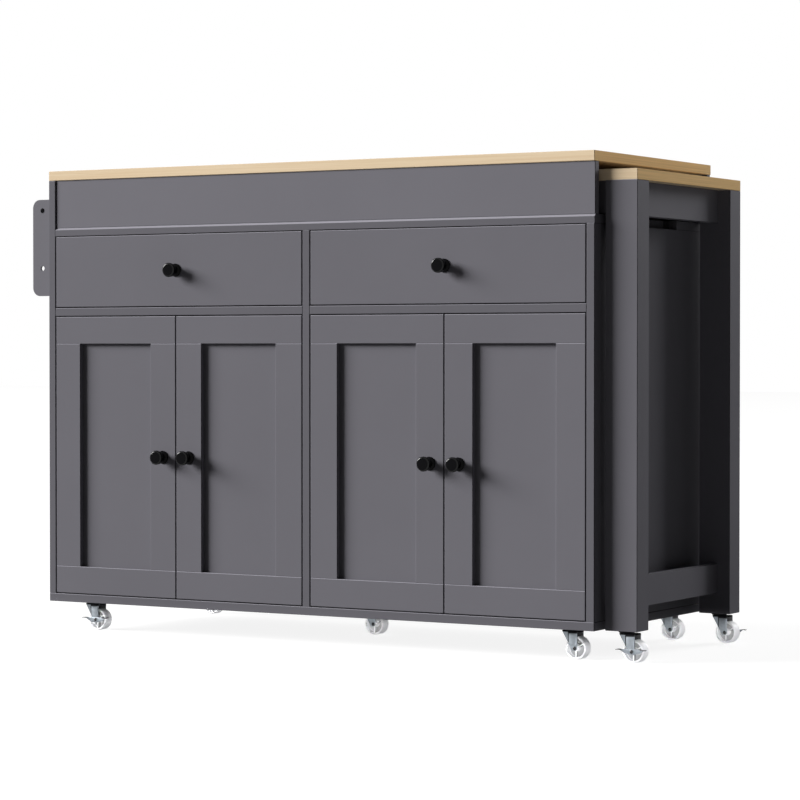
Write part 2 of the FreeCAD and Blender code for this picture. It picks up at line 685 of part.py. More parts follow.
def hinge_cup(label, x, z, turn):
    """A pressed cup with its flange on the back of the stile and a pin across it. Local Y runs
    into the cabinet and the pivot is the origin."""
    body = new_body(label)
    sketch = new_sketch(body, "XY_Plane")
    back = "Sizes.board - Sizes.pivot_depth"
    floor = "Sizes.cup_skin - Sizes.pivot_depth"
    outer = "Sizes.cup_radius - Sizes.cup_fit"
    outline(sketch, [
        ("0", floor),
        (outer, floor),
        (outer, back),
        ("Sizes.cup_flange_radius", back),
        ("Sizes.cup_flange_radius", total(back, "Sizes.cup_sheet")),
        (total(outer, "-Sizes.cup_sheet"), total(back, "Sizes.cup_sheet")),
        (total(outer, "-Sizes.cup_sheet"), total(floor, "Sizes.cup_sheet")),
        ("0", total(floor, "Sizes.cup_sheet"))])
    revolution(body, sketch)
    pin = new_sketch(body, "XY_Plane")
    circle(pin, "0", "0", "Sizes.hinge_pin_radius")
    pad(body, pin, "2 * (%s) - Sizes.cup_sheet" % outer, midplane=True)
    return place(body, x, "Layout.front + Sizes.pivot_depth", z, (0, 1, 0), turn)


def hinge_arm(label, x, z, turn):
    """The arm on the side panel: a plate with a cranked strip that reaches round the edge of
    the door into the cup and ends in an eye on the pin."""
    body = new_body(label)
    wall = minus("Sizes.cup_inset + Sizes.door_gap")
    strip = total(wall, "Sizes.plate_sheet")
    sheet = "Sizes.arm_sheet"
    knee = "Sizes.arm_knee"
    mouth = "Sizes.board - Sizes.pivot_depth"
    sketch = new_sketch(body, "XY_Plane")
    outline(sketch, [
        (strip, "Sizes.arm_tail"),
        (strip, "Sizes.arm_bend"),
        ("0", "Sizes.arm_bend - Sizes.arm_sheet - Sizes.plate_sheet"),
        (total(knee, "-Sizes.arm_sheet / 2"), "Sizes.arm_knee * 2"),
        (total(knee, "-Sizes.arm_sheet / 2"), total(mouth, sheet)),
        ("Sizes.hinge_pin_radius", "Sizes.hinge_pin_radius"),
        (total("Sizes.eye_radius", sheet), "Sizes.hinge_pin_radius"),
        (total(knee, "Sizes.arm_sheet / 2"), mouth),
        (total(knee, "Sizes.arm_sheet / 2"), total("Sizes.arm_knee * 2", "Sizes.arm_sheet / 2")),
        ("Sizes.arm_sheet / 2", "Sizes.arm_bend - Sizes.plate_sheet / 2"),
        (total(strip, sheet), total("Sizes.arm_bend", "Sizes.arm_sheet")),
        (total(strip, sheet), "Sizes.arm_tail")])
    pad(body, sketch, "Sizes.arm_width", midplane=True)
    eye = new_sketch(body, "XY_Plane")
    circle(eye, "0", "0", "Sizes.eye_radius")
    pad(body, eye, "Sizes.arm_width", midplane=True)
    bore = new_sketch(body, "XY_Plane")
    circle(bore, "0", "0", "Sizes.hinge_pin_radius + Sizes.hinge_pin_fit")
    pocket(body, bore, "2 * Sizes.arm_width", midplane=True)
    plate = new_sketch(body, "XY_Plane")
    start = "Sizes.arm_tail - Sizes.plate_length"
    rectangle(plate, wall, start, "Sizes.plate_sheet", "Sizes.plate_length")
    pad(body, plate, "Sizes.plate_height", midplane=True)
    return place(body, x, "Layout.front + Sizes.pivot_depth", z, (0, 1, 0), turn)


def make_doors():
    """Four doors. The outer two turn on the side panels, the inner two on the divider."""
    arms = []
    for number, (bay, slot, hinged_left) in enumerate(DOORS, start=1):
        name = "door_%d_" % number
        pitch = "%d * (Layout.door_width + Sizes.door_gap)" % slot
        left = total("Layout.bay_" + bay, "Sizes.door_gap", pitch)
        right = total(left, "Layout.door_width")
        foot = "Layout.door_foot"
        top = "Layout.door_foot + Sizes.door_height"
        stile_foot = total(foot, "Sizes.rail_width")
        rail_high = total(top, "-Sizes.rail_width")
        panel_foot = total(stile_foot, "-Sizes.rebate_width")
        panel_y = "Layout.front + Sizes.board - Sizes.panel_thickness"
        panel_size = (
            "Layout.door_width - 2 * (%s)" % PANEL_INSET,
            "Sizes.panel_thickness",
            total(rail_high, minus(panel_foot), "Sizes.rebate_width"))
        low_rail = rail(name + "low_rail", "Sizes.rail_width - Sizes.rebate_width")
        node(
            "door_%d" % number,
            place(stile(name + "left_stile", hinged_left, 1), left, "Layout.front", stile_foot),
            place(stile(name + "right_stile", not hinged_left, -1), right, "Layout.front", stile_foot),
            place(low_rail, left, "Layout.front", foot),
            place(rail(name + "high_rail", "-Sizes.rebate_width"), left, "Layout.front", rail_high),
            block(name + "panel", (total(left, PANEL_INSET), panel_y, panel_foot), panel_size))
        half_stile = "Sizes.stile_width / 2"
        knob_x = total(right, minus(half_stile)) if hinged_left else total(left, half_stile)
        node("door_knob_%d" % number, knob(
            "door_knob_%d" % number, knob_x, "Layout.front", "Layout.door_foot + Sizes.door_height / 2"))
        pivot = total(left, "Sizes.cup_inset") if hinged_left else total(right, "-Sizes.cup_inset")
        turn = 0 if hinged_left else HALF_TURN
        cups = []
        for where, level in (("low", total(foot, "Sizes.hinge_end_inset")),
                             ("high", total(top, "-Sizes.hinge_end_inset"))):
            cups.append(hinge_cup("hinge_cup_%d_%s" % (number, where), pivot, level, turn))
            arms.append(hinge_arm("hinge_arm_%d_%s" % (number, where), pivot, level, turn))
        node("hinge_cups_%d" % number, *cups)
    node("hinge_arms", *arms)


# Drawers
def runner_half(label, web_x, flange_x, half_height, corner, turn):
    """A channel along the drawer: an upright web with a flange at its top and bottom edge."""
    body = new_body(label)
    sketch = new_sketch(body, "XZ_Plane")
    web_in = total(web_x, "Sizes.runner_sheet") if web_x == "0" else total(web_x, "-Sizes.runner_sheet")
    inside = total(half_height, "-Sizes.runner_sheet")
    outline(sketch, [
        (web_x, minus(half_height)),
        (flange_x, minus(half_height)),
        (flange_x, minus(inside)),
        (web_in, minus(inside)),
        (web_in, inside),
        (flange_x, inside),
        (flange_x, half_height),
        (web_x, half_height)])
    pad(body, sketch, "Layout.drawer_depth", reverse=True)
    return place(body, *corner, (0, 1, 0), turn)


def make_drawers():
    slides = []
    for side in SIDES:
        bay = "Layout.bay_" + side
        far = total(bay, "Layout.bay_width")
        behind = "Layout.front + Sizes.board"
        node("drawer_front_" + side, block(
            "drawer_front_" + side,
            (total(bay, "Sizes.door_gap"), "Layout.front", "Layout.drawer_foot"),
            ("Layout.drawer_width", "Sizes.board", "Sizes.drawer_height")))
        left = total(bay, "Sizes.runner_space")
        inner = total(left, "Sizes.drawer_wall")
        inner_width = "Layout.box_width - 2 * Sizes.drawer_wall"
        wall_size = ("Sizes.drawer_wall", "Layout.drawer_depth", "Sizes.drawer_box_height")
        end_size = (inner_width, "Sizes.drawer_wall", "Sizes.drawer_box_height")
        name = "drawer_%s_" % side
        foot = "Layout.box_foot"
        node(
            "drawer_box_" + side,
            block(name + "left_wall", (left, behind, foot), wall_size),
            block(name + "right_wall", (total(inner, inner_width), behind, foot), wall_size),
            block(name + "front_wall", (inner, behind, foot), end_size),
            block(name + "back_wall",
                  (inner, total(behind, "Layout.drawer_depth", "-Sizes.drawer_wall"), foot), end_size),
            block(name + "floor",
                  (inner, total(behind, "Sizes.drawer_wall"), total(foot, "Sizes.drawer_floor_drop")),
                  (inner_width, "Layout.drawer_depth - 2 * Sizes.drawer_wall", "Sizes.drawer_floor")))
        node("drawer_knob_" + side, knob(
            "drawer_knob_" + side, total(bay, "Layout.bay_width / 2"), "Layout.front",
            "Layout.drawer_foot + Sizes.drawer_height / 2"))
        outer_half = "Sizes.runner_height / 2"
        inner_half = "Sizes.runner_height / 2 - Sizes.runner_sheet - Sizes.runner_play"
        flange = "Sizes.runner_space - Sizes.runner_flange"
        members = []
        for where, x, turn in (("left", bay, 0), ("right", far, HALF_TURN)):
            corner = (x, behind, "Layout.runner_level")
            end = "_%s_%s" % (side, where)
            members.append(runner_half(
                "drawer_runner" + end, "Sizes.runner_space", flange, inner_half, corner, turn))
            slides.append(runner_half(
                "cabinet_runner" + end, "0", "Sizes.runner_flange", outer_half, corner, turn))
        node("drawer_runners_" + side, *members)
    node("cabinet_runners", *slides)


# Pull-out table
def make_table():
    node("table_top", block(
        "table_top",
        ("Layout.table_tail", "Layout.table_front", "Layout.table_under"),
        ("Layout.table_end - Layout.table_tail", "Layout.table_width", "Sizes.table_top_thickness")))
    leg_size = ("Sizes.leg_width", "Sizes.leg_depth", "Layout.table_under - Layout.under")
    legs = []
    for name, y in (("front_leg", "Layout.table_front"),
                    ("rear_leg", "Layout.table_front + Layout.table_width - Sizes.leg_depth")):
        leg = block(name, ("Layout.leg_left", y, "Layout.under"), leg_size)
        stem_bores(leg, [("Sizes.leg_width / 2", "Sizes.leg_depth / 2")])
        legs.append(leg)
    node("table_legs", *legs)
    end_x = "Layout.table_end - Sizes.apron_inset - Sizes.apron_thickness"
    between = "Layout.table_front + Sizes.leg_depth"
    span = "Layout.table_width - 2 * Sizes.leg_depth"
    node(
        "table_end_boards",
        block("end_apron", (end_x, between, "Layout.table_under - Sizes.apron_height"),
              ("Sizes.apron_thickness", span, "Sizes.apron_height")),
        block("low_stretcher", (end_x, between, "Layout.under + Sizes.stretcher_level"),
              ("Sizes.apron_thickness", span, "Sizes.stretcher_height")))
    rail_height = "Layout.table_under - Layout.rail_foot"
    rail_size = ("Layout.leg_left - Layout.table_tail", "Sizes.apron_thickness", rail_height)
    reach = "Sizes.table_inset + Sizes.side_rail_inset - Sizes.fascia_setback" \
        " - Sizes.fascia_thickness - Sizes.stop_play"
    stop_x = "Layout.table_tail + Sizes.rail_stop_inset"
    stop_size = ("Sizes.stop_length", reach, "Sizes.stop_height")
    node(
        "table_side_rails",
        block("front_side_rail", ("Layout.table_tail", "Layout.rail_front", "Layout.rail_foot"), rail_size),
        block("rear_side_rail", ("Layout.table_tail", "Layout.rail_back", "Layout.rail_foot"), rail_size),
        block("cross_rail",
              ("Layout.table_tail", "Layout.rail_front + Sizes.apron_thickness", "Layout.rail_foot"),
              ("Sizes.apron_thickness", "Layout.rail_back - Layout.rail_front - Sizes.apron_thickness",
               rail_height)),
        block("front_rail_stop",
              (stop_x, total("Layout.rail_front", minus(reach)), "Layout.rail_foot"), stop_size),
        block("rear_rail_stop",
              (stop_x, "Layout.rail_back + Sizes.apron_thickness", "Layout.rail_foot"), stop_size))
    glides = []
    for end, x in (("inner", "Layout.table_tail + Sizes.glide_length / 2"),
                   ("outer", "Layout.inner_right - Sizes.glide_length * 3 / 2")):
        for row in ("front", "back"):
            body = new_body("glide_%s_%s" % (end, row))
            sketch = new_sketch(body, "XY_Plane")
            rectangle(sketch, "0", "0", "Sizes.glide_length", "Sizes.apron_thickness")
            pad(body, sketch, "Sizes.glide_thickness")
            glides.append(place(body, x, "Layout.rail_" + row, "Layout.deck_top + Sizes.glide_play"))
    node("table_glides", *glides)


# Swivel casters
def caster_mount(name, x, y):
    """The fixed half: stem in the board, dust collar, kingpin with its head under the crown."""
    body = new_body("caster_mount_" + name)
    sketch = new_sketch(body, "XZ_Plane")
    pin_foot = minus("Layout.crown_foot + Sizes.swivel_play")
    head_foot = minus("Layout.crown_foot + Sizes.swivel_play + Sizes.kingpin_head")
    outline(sketch, [
        ("0", "Sizes.stem_length"),
        ("Sizes.stem_radius", "Sizes.stem_length"),
        ("Sizes.stem_radius", "0"),
        ("Sizes.collar_radius", "0"),
        ("Sizes.collar_radius", "Sizes.collar_bevel - Sizes.collar_height"),
        ("Sizes.collar_radius - Sizes.collar_bevel", "-Sizes.collar_height"),
        ("Sizes.kingpin_radius", "-Sizes.collar_height"),
        ("Sizes.kingpin_radius", pin_foot),
        ("Sizes.kingpin_head_radius", pin_foot),
        ("Sizes.kingpin_head_radius", head_foot),
        ("0", head_foot)])
    revolution(body, sketch)
    return place(body, x, y, "Layout.under")


def caster_fork(name, x, y, brake):
    """The turning half: a crown on the kingpin, two cheeks that taper to the axle, each with a
    raised strip, a bent edge behind the crown, and the riveted axle. brake is the side of the
    pedal, -1 front, 1 back or 0 none, where the axle is longer."""
    body = new_body("caster_fork_" + name)
    heel = "Sizes.caster_trail + Sizes.fork_heel"
    crown = new_sketch(body, "XY_Plane", minus("Layout.crown_foot"))
    rectangle(crown, minus("Sizes.fork_nose"), minus("Layout.cheek_outer"),
              total(heel, "Sizes.fork_nose"), "2 * Layout.cheek_outer")
    plate = pad(body, crown, "Sizes.fork_sheet")
    body.Tip = round_edges(
        body, plate, "Sizes.fork_nose_round",
        lambda a, b: a.x < -EDGE_REACH and b.x < -EDGE_REACH and abs(a.z - b.z) > EDGE_REACH)
    axle_z = "-Layout.axle_drop"
    chin_z = total(axle_z, "-Sizes.fork_chin")
    side = new_sketch(body, "XZ_Plane")
    outline(side, [
        ("-Sizes.cheek_top_reach", minus("Layout.crown_top")),
        (heel, minus("Layout.crown_top")),
        (heel, total(axle_z, "-Sizes.fork_chin / 2")),
        (total(heel, "-Sizes.fork_chin / 2"), chin_z),
        ("Sizes.caster_trail - Sizes.fork_chin", chin_z),
        ("Sizes.caster_trail - 2 * Sizes.fork_chin", axle_z)])
    pad(body, side, "2 * Layout.cheek_outer", midplane=True)
    strip = new_sketch(body, "XZ_Plane")
    rectangle(strip, total(heel, "-Sizes.cheek_width"), total(axle_z, "-Sizes.fork_chin / 2"),
              "Sizes.cheek_width", "Layout.axle_drop + Sizes.fork_chin / 2 - Layout.crown_foot")
    pad(body, strip, "2 * Layout.cheek_face", midplane=True)
    room = new_sketch(body, "XZ_Plane")
    flange_z = minus("Layout.crown_top + Sizes.heel_flange")
    beyond = total(heel, "Sizes.fork_sheet")
    outline(room, [
        (minus("2 * Sizes.fork_nose"), minus("Layout.crown_foot")),
        (total(heel, "-Sizes.fork_sheet"), minus("Layout.crown_foot")),
        (total(heel, "-Sizes.fork_sheet"), flange_z),
        (beyond, flange_z),
        (beyond, minus("2 * Layout.axle_drop")),
        (minus("2 * Sizes.fork_nose"), minus("2 * Layout.axle_drop"))])
    pocket(body, room, "Sizes.fork_room", midplane=True)
    eye = new_sketch(body, "XY_Plane", minus("Layout.crown_top"))
    circle(eye, "0", "0", "Sizes.kingpin_radius + Sizes.bearing_fit")
    pocket(body, eye, "Sizes.fork_sheet")
    shaft = new_sketch(body, "XZ_Plane")
    circle(shaft, "Sizes.caster_trail", axle_z, "Sizes.axle_radius")
    pad(body, shaft, "2 * Layout.cheek_face", midplane=True)
    for way in (-1, 1):
        seat = "Layout.cheek_face"
        if way == brake:
            seat = total("Layout.pedal_outer", "Sizes.swivel_play")
            longer = new_sketch(body, "XZ_Plane", "%d * (Layout.cheek_face)" % -way)
            circle(longer, "Sizes.caster_trail", axle_z, "Sizes.axle_radius")
            pad(body, longer, total(seat, "-Layout.cheek_face"), reverse=way > 0)
        head = new_sketch(body, "XZ_Plane", "%d * (%s)" % (-way, seat))
        circle(head, "Sizes.caster_trail", axle_z, "Sizes.axle_head_radius")
        pad(body, head, "Sizes.axle_head", reverse=way > 0)
    return place(body, x, y, "Layout.under")


def caster_wheel(name, x, y):
    """A moulded wheel: hub, thin disc, rim with bevelled shoulders, and three ribs on the disc."""
    body = new_body("caster_wheel_" + name)
    bore = "Sizes.axle_radius + Sizes.bearing_fit"
    hub = "Sizes.fork_room / 2 - Sizes.hub_play"
    rim = "Sizes.wheel_width / 2"
    rim_in = "Sizes.wheel_radius - Sizes.rim_thickness"
    half = [
        (bore, hub),
        ("Sizes.hub_radius", hub),
        ("Sizes.hub_radius", "Sizes.web_thickness / 2"),
        (rim_in, "Sizes.web_thickness / 2"),
        (rim_in, rim),
        ("Sizes.wheel_radius - Sizes.rim_bevel", rim),
        ("Sizes.wheel_radius", total(rim, "-Sizes.rim_bevel"))]
    sketch = new_sketch(body, "XY_Plane")
    outline(sketch, half + [(across, minus(along)) for across, along in reversed(half)])
    revolution(body, sketch)
    rib = new_sketch(body, "XZ_Plane")
    inner = "(Sizes.axle_radius + Sizes.hub_radius) / 2"
    outer = "Sizes.wheel_radius - Sizes.rim_thickness / 2"
    length = total(outer, minus(inner))
    rectangle(rib, "-Sizes.rib_thickness / 2", minus(outer), "Sizes.rib_thickness", length)
    first = pad(body, rib, "Sizes.rib_width", midplane=True)
    ring = body.newObject("PartDesign::PolarPattern", body.Name + "_ribs")
    ring.Originals = [first]
    ring.Axis = (rib, ["N_Axis"])
    ring.Angle = FULL_TURN
    ring.Occurrences = WHEEL_RIBS
    body.Tip = ring
    return place(body, total(x, "Sizes.caster_trail"), y, "Layout.under - Layout.axle_drop")


def brake_pedal(name, x, y, way):
    """A two-ended pedal on the axle outside a cheek: a plate that narrows to both ends, each end
    with a wing that stands out for the foot."""
    body = new_body("caster_brake_" + name)
    level = "%d * Layout.pedal_inner" % -way
    plate = new_sketch(body, "XZ_Plane", level)
    tip_low = "Sizes.brake_rise - Sizes.brake_sheet / 2"
    tip_high = "Sizes.brake_rise + Sizes.brake_sheet / 2"
    belly = "%s * Sizes.brake_half_length" % PEDAL_BELLY_SHARE
    outline(plate, [
        ("-Sizes.brake_half_length", tip_high),
        ("-Sizes.brake_half_length", tip_low),
        (minus(belly), "-Sizes.brake_half_height"),
        (belly, "-Sizes.brake_half_height"),
        ("Sizes.brake_half_length", tip_low),
        ("Sizes.brake_half_length", tip_high),
        (belly, "Sizes.brake_half_height"),
        (minus(belly), "Sizes.brake_half_height")])
    circle(plate, "0", "0", "Sizes.axle_radius + Sizes.bearing_fit")
    pad(body, plate, "Sizes.brake_sheet", reverse=way > 0)
    wings = new_sketch(body, "XZ_Plane", level)
    root = "Sizes.brake_half_length - Sizes.brake_sheet"
    width = total("Sizes.brake_wing_reach", minus(root))
    rectangle(wings, root, tip_low, width, "Sizes.brake_sheet")
    rectangle(wings, "-Sizes.brake_wing_reach", tip_low, width, "Sizes.brake_sheet")
    pad(body, wings, "Sizes.brake_wing_width", reverse=way > 0)
    return place(body, total(x, "Sizes.caster_trail"), y, "Layout.under - Layout.axle_drop")


def make_casters():
    for group, casters in (("cabinet", CABINET_CASTERS), ("table", TABLE_CASTERS)):
        node(group + "_caster_mounts", *[caster_mount(name, x, y) for name, x, y, _ in casters])
        for name, x, y, brake in casters:
            node("caster_fork_" + name, caster_fork(name, x, y, brake))
            node("caster_wheel_" + name, caster_wheel(name, x, y))
            if brake:
                node("caster_brake_" + name, brake_pedal(name, x, y, brake))


def check_and_export():
    """Stop at a failed object or a bad shape, then write one file for each node."""
    DOC.recompute()
    failed = [item.Label for item in DOC.Objects if {"Invalid", "Error"} & set(item.State)]
    failed += [item.Label for item in NODES if item.Shape.isNull() or not item.Shape.isValid()]
    if failed:
        raise RuntimeError("not sound: " + ", ".join(failed))
    os.makedirs("parts", exist_ok=True)
    for item in NODES:
        item.Shape.exportStep("parts/%s.step" % item.Label)
    print("nodes", len(NODES), "solids", sum(len(item.Shape.Solids) for item in NODES))


def main():
    fill_sheets()
    make_worktop()
    make_side_panels()
    make_bottom_panel()
    make_deck()
    make_mid_rails()
    make_fascias()
    make_back_panel()
    make_shelves()
    make_shelf_pins()
    make_towel_rack()
    make_doors()
    make_drawers()
    make_table()
    make_casters()
    check_and_export()


main()
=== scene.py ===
"""Rolling kitchen island: the look of the cabinet, its pull-out table and its hardware.

Metres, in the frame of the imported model: X along the cabinet, the front faces -Y, Z up.
"""
import json
from math import pi, radians, sin

import bpy
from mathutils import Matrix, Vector


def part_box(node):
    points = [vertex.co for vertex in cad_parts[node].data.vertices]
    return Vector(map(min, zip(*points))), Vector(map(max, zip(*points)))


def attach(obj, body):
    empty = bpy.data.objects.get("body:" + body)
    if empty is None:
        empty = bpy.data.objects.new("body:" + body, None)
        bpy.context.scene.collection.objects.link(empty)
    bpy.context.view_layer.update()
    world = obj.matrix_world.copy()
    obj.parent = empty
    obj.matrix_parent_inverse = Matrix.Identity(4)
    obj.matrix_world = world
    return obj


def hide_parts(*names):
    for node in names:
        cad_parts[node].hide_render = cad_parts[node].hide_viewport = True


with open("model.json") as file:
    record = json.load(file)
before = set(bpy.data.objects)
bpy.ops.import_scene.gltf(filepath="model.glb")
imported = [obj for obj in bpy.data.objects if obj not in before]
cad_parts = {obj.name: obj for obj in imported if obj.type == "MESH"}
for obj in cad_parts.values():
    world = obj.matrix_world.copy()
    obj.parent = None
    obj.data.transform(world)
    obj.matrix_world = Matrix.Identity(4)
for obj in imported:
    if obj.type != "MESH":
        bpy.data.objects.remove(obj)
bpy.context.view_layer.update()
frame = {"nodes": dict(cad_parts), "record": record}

bl_info = {
    "name": "Rolling Kitchen Island",
    "version": (1, 0, 0),
    "blender": (4, 5, 0),
    "location": "3D View > Sidebar > Island",
    "description": "Finishes and hardware of a rolling kitchen island with a pull-out table",
    "category": "Add Mesh",
}

MM = 0.001
RECORD_JOINTS = {joint["name"]: joint for joint in frame["record"]["behaviour"]["joints"]}
RECORD_MOUNTS = {mount["name"]: mount["pos_m"] for mount in frame["record"]["mounts"]}
CABINET_CASTERS = ("front_left", "front_right", "middle", "rear_left", "rear_right")
TABLE_CASTERS = ("table_front", "table_rear")
CASTERS = CABINET_CASTERS + TABLE_CASTERS
# Casters with a brake, and on which side of the fork along Y its pedal lies
BRAKES = {"front_left": -1, "table_front": -1, "table_rear": 1}
DOORS = (1, 2, 3, 4)
SIDES = ("left", "right")

# How near counts as on a plane, and how near two points of a bevelled or a turned piece are one
NEAR = 0.1 * MM
SAME_POINT = 0.002 * MM
SAME_RING_POINT = 0.001 * MM
# In degrees: edges sharper than the first are bevelled, and faces that meet at less than the next
# ones are shaded smooth. On pressed plates that is less than a bevel's steps, so they stay flat
SHARP_EDGE = 40
BEVEL_SMOOTH = 45
TURNED_SMOOTH = 35
FLAT_SHEET = 20
# Steps in a rounded corner of a profile
ROUNDING_STEPS = 3
# A turned piece's flat ends begin and end at this share of its radius
POLE_SHARE = 0.2


# What a user would change
class IslandColours(bpy.types.PropertyGroup):
    paint: bpy.props.FloatVectorProperty(
        name="Paint", description="Satin paint on the boards", subtype="COLOR", size=3,
        min=0, max=1, default=(0.162, 0.159, 0.180))
    # Painted shade: the case's boards are painted darker than the fronts, for the shade that falls
    # on them
    case_shade_share: bpy.props.FloatProperty(
        name="Case share", description="Tone of the case's boards, as a share of the fronts'",
        subtype="FACTOR", min=0, max=2, default=0.86)
    # Painted light: the long fascias are painted lighter than the fronts, for the light that falls
    # from above
    fascia_light_share: bpy.props.FloatProperty(
        name="Fascia share", description="Tone of the long fascias, as a share of the fronts'",
        subtype="FACTOR", min=0, max=2, default=1.1)
    # Painted highlight: the boards' bevels that face up are painted lighter, for the light that
    # falls on them from above
    highlight_share: bpy.props.FloatProperty(
        name="Edge share",
        description="Tone of the boards' rubbed upper edges, as a share of the paint's",
        subtype="FACTOR", min=0, max=4, default=2.4)
    # Painted shade: the bevels that face +X, into the gaps between boards, are painted darker
    gap_shade_share: bpy.props.FloatProperty(
        name="Gap share",
        description="Tone of the edges that look into a gap, as a share of the paint's",
        subtype="FACTOR", min=0, max=1, default=0.3)
    wood: bpy.props.FloatVectorProperty(
        name="Wood", description="Pale wood of the worktop and the table top", subtype="COLOR",
        size=3, min=0, max=1, default=(0.80, 0.65, 0.455))
    grain: bpy.props.FloatVectorProperty(
        name="Grain", description="Darker streaks in the wood", subtype="COLOR", size=3,
        min=0, max=1, default=(0.62, 0.43, 0.24))
    # Painted light: the tops' table-side end edges face away from the main lamp and are painted
    # lighter to make up for it
    edge_strip: bpy.props.FloatVectorProperty(
        name="Edge strip", description="Wood strips on the tops' table-side end edges",
        subtype="COLOR", size=3, min=0, max=1, default=(0.96, 0.63, 0.27))
    # Painted shade: the tops' rack-side end edges face the main lamp and are painted darker to make
    # up for it
    rack_strip: bpy.props.FloatVectorProperty(
        name="Rack-side strip", description="Wood strips on the tops' rack-side end edges",
        subtype="COLOR", size=3, min=0, max=1, default=(0.60, 0.45, 0.28))
    black: bpy.props.FloatVectorProperty(
        name="Black", description="Knobs, towel rail and the casters' black parts",
        subtype="COLOR", size=3, min=0, max=1, default=(0.0022, 0.0022, 0.0028))
    zinc: bpy.props.FloatVectorProperty(
        name="Zinc", description="Plated sheet of the casters, hinges and runners",
        subtype="COLOR", size=3, min=0, max=1, default=(0.245, 0.27, 0.295))
    plastic: bpy.props.FloatVectorProperty(
        name="Wheel plastic", description="Milky plastic of the wheels", subtype="COLOR", size=3,
        min=0, max=1, default=(0.93, 0.935, 0.96))
    # Painted shade: the wheels' recessed webs are painted darker than their rims, for the shade in
    # the recess
    web_shade_share: bpy.props.FloatProperty(
        name="Web share", description="Tone of the wheels' thin webs, as a share of their rims'",
        subtype="FACTOR", min=0, max=1, default=0.42)


class IslandSizes(bpy.types.PropertyGroup):
    sheet_bevel: bpy.props.FloatProperty(
        name="Sheet bevel", description="Rounding on the edges of pressed sheet", default=0.3 * MM,
        min=0, unit="LENGTH")
    bend_radius: bpy.props.FloatProperty(
        name="Bend radius", description="Outside radius of bends in sheet", default=2.6 * MM,
        min=0, unit="LENGTH")
    screw_radius: bpy.props.FloatProperty(
        name="Screw head", description="Radius of the countersunk screw heads", default=3.6 * MM,
        min=0, unit="LENGTH")
    turned_steps: bpy.props.IntProperty(
        name="Turned steps", description="Steps round a turned piece", default=64, min=12)


def colours():
    return bpy.context.scene.island_colours


def sizes():
    return bpy.context.scene.island_sizes


def middle(low, high):
    return [(a + b) / 2 for a, b in zip(low, high)]


def joint_place(name):
    """A joint's point at rest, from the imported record."""
    return Vector(RECORD_JOINTS[name]["pos_m"])


def in_metres(profile):
    """A profile given in millimetres."""
    return [(radius * MM, height * MM) for radius, height in profile]


# Modelling helpers
def deselect():
    if bpy.context.object and bpy.context.object.mode != "OBJECT":
        bpy.ops.object.mode_set(mode="OBJECT")
    bpy.ops.object.select_all(action="DESELECT")


def take(piece):
    """Select one piece alone and make it the active one."""
    deselect()
    bpy.context.view_layer.objects.active = piece
    piece.select_set(True)


def edit(piece):
    take(piece)
    bpy.ops.object.mode_set(mode="EDIT")
    bpy.ops.mesh.select_mode(type="VERT")


def object_mode():
    bpy.ops.object.mode_set(mode="OBJECT")


def settle():
    """Put the new piece's place, turn and scale into its mesh."""
    bpy.ops.object.transform_apply(location=True, rotation=True, scale=True)


def pick(piece, kind, test):
    """Select, in edit mode, the polygons or edges whose middle passes a test."""
    bpy.ops.mesh.select_mode(type={"polygons": "FACE", "edges": "EDGE"}[kind])
    bpy.ops.mesh.select_all(action="DESELECT")
    object_mode()
    mesh = piece.data
    for item in getattr(mesh, kind):
        points = [mesh.vertices[index].co for index in item.vertices]
        item.select = bool(test(sum(points, Vector()) / len(points)))
    bpy.ops.object.mode_set(mode="EDIT")


def slab(name, low, high):
    """A block between two corners, as a start."""
    deselect()
    size = [b - a for a, b in zip(low, high)]
    bpy.ops.mesh.primitive_cube_add(size=1, location=middle(low, high), scale=size)
    piece = bpy.context.object
    piece.name = name
    piece.data.name = name
    settle()
    return piece


def weld(piece):
    """Merge points that lie on each other, so that no face is left without an area."""
    edit(piece)
    bpy.ops.mesh.select_all(action="SELECT")
    bpy.ops.mesh.remove_doubles(threshold=SAME_POINT)
    object_mode()


def bevel(piece, width, steps=2, smooth=BEVEL_SMOOTH):
    """Round a piece's sharp edges, and shade it smooth where its faces meet at a small angle."""
    take(piece)
    modifier = piece.modifiers.new("Bevel", "BEVEL")
    modifier.width = width
    modifier.segments = steps
    modifier.limit_method = "ANGLE"
    modifier.angle_limit = radians(SHARP_EDGE)
    bpy.ops.object.modifier_apply(modifier=modifier.name)
    weld(piece)
    bpy.ops.object.shade_smooth_by_angle(angle=radians(smooth))


def thicken(piece, thickness, offset=-1):
    """Give a sheet its thickness: inwards with an offset of -1, to both sides with 0."""
    take(piece)
    modifier = piece.modifiers.new("Solidify", "SOLIDIFY")
    modifier.thickness = thickness
    modifier.offset = offset
    modifier.use_even_offset = True
    bpy.ops.object.modifier_apply(modifier=modifier.name)


def cut(piece, point, normal):
    """Slice the whole piece with a plane and drop what lies beyond it, closing the cut."""
    edit(piece)
    bpy.ops.mesh.select_all(action="SELECT")
    bpy.ops.mesh.bisect(plane_co=point, plane_no=normal, use_fill=True, clear_outer=True)
    object_mode()


def drill(piece, tool):
    """Take a tool's shape out of a piece, and remove the tool."""
    modifier = piece.modifiers.new("Hole", "BOOLEAN")
    modifier.operation = "DIFFERENCE"
    modifier.object = tool
    modifier.solver = "EXACT"
    take(piece)
    bpy.ops.object.modifier_apply(modifier=modifier.name)
    bpy.data.objects.remove(tool)


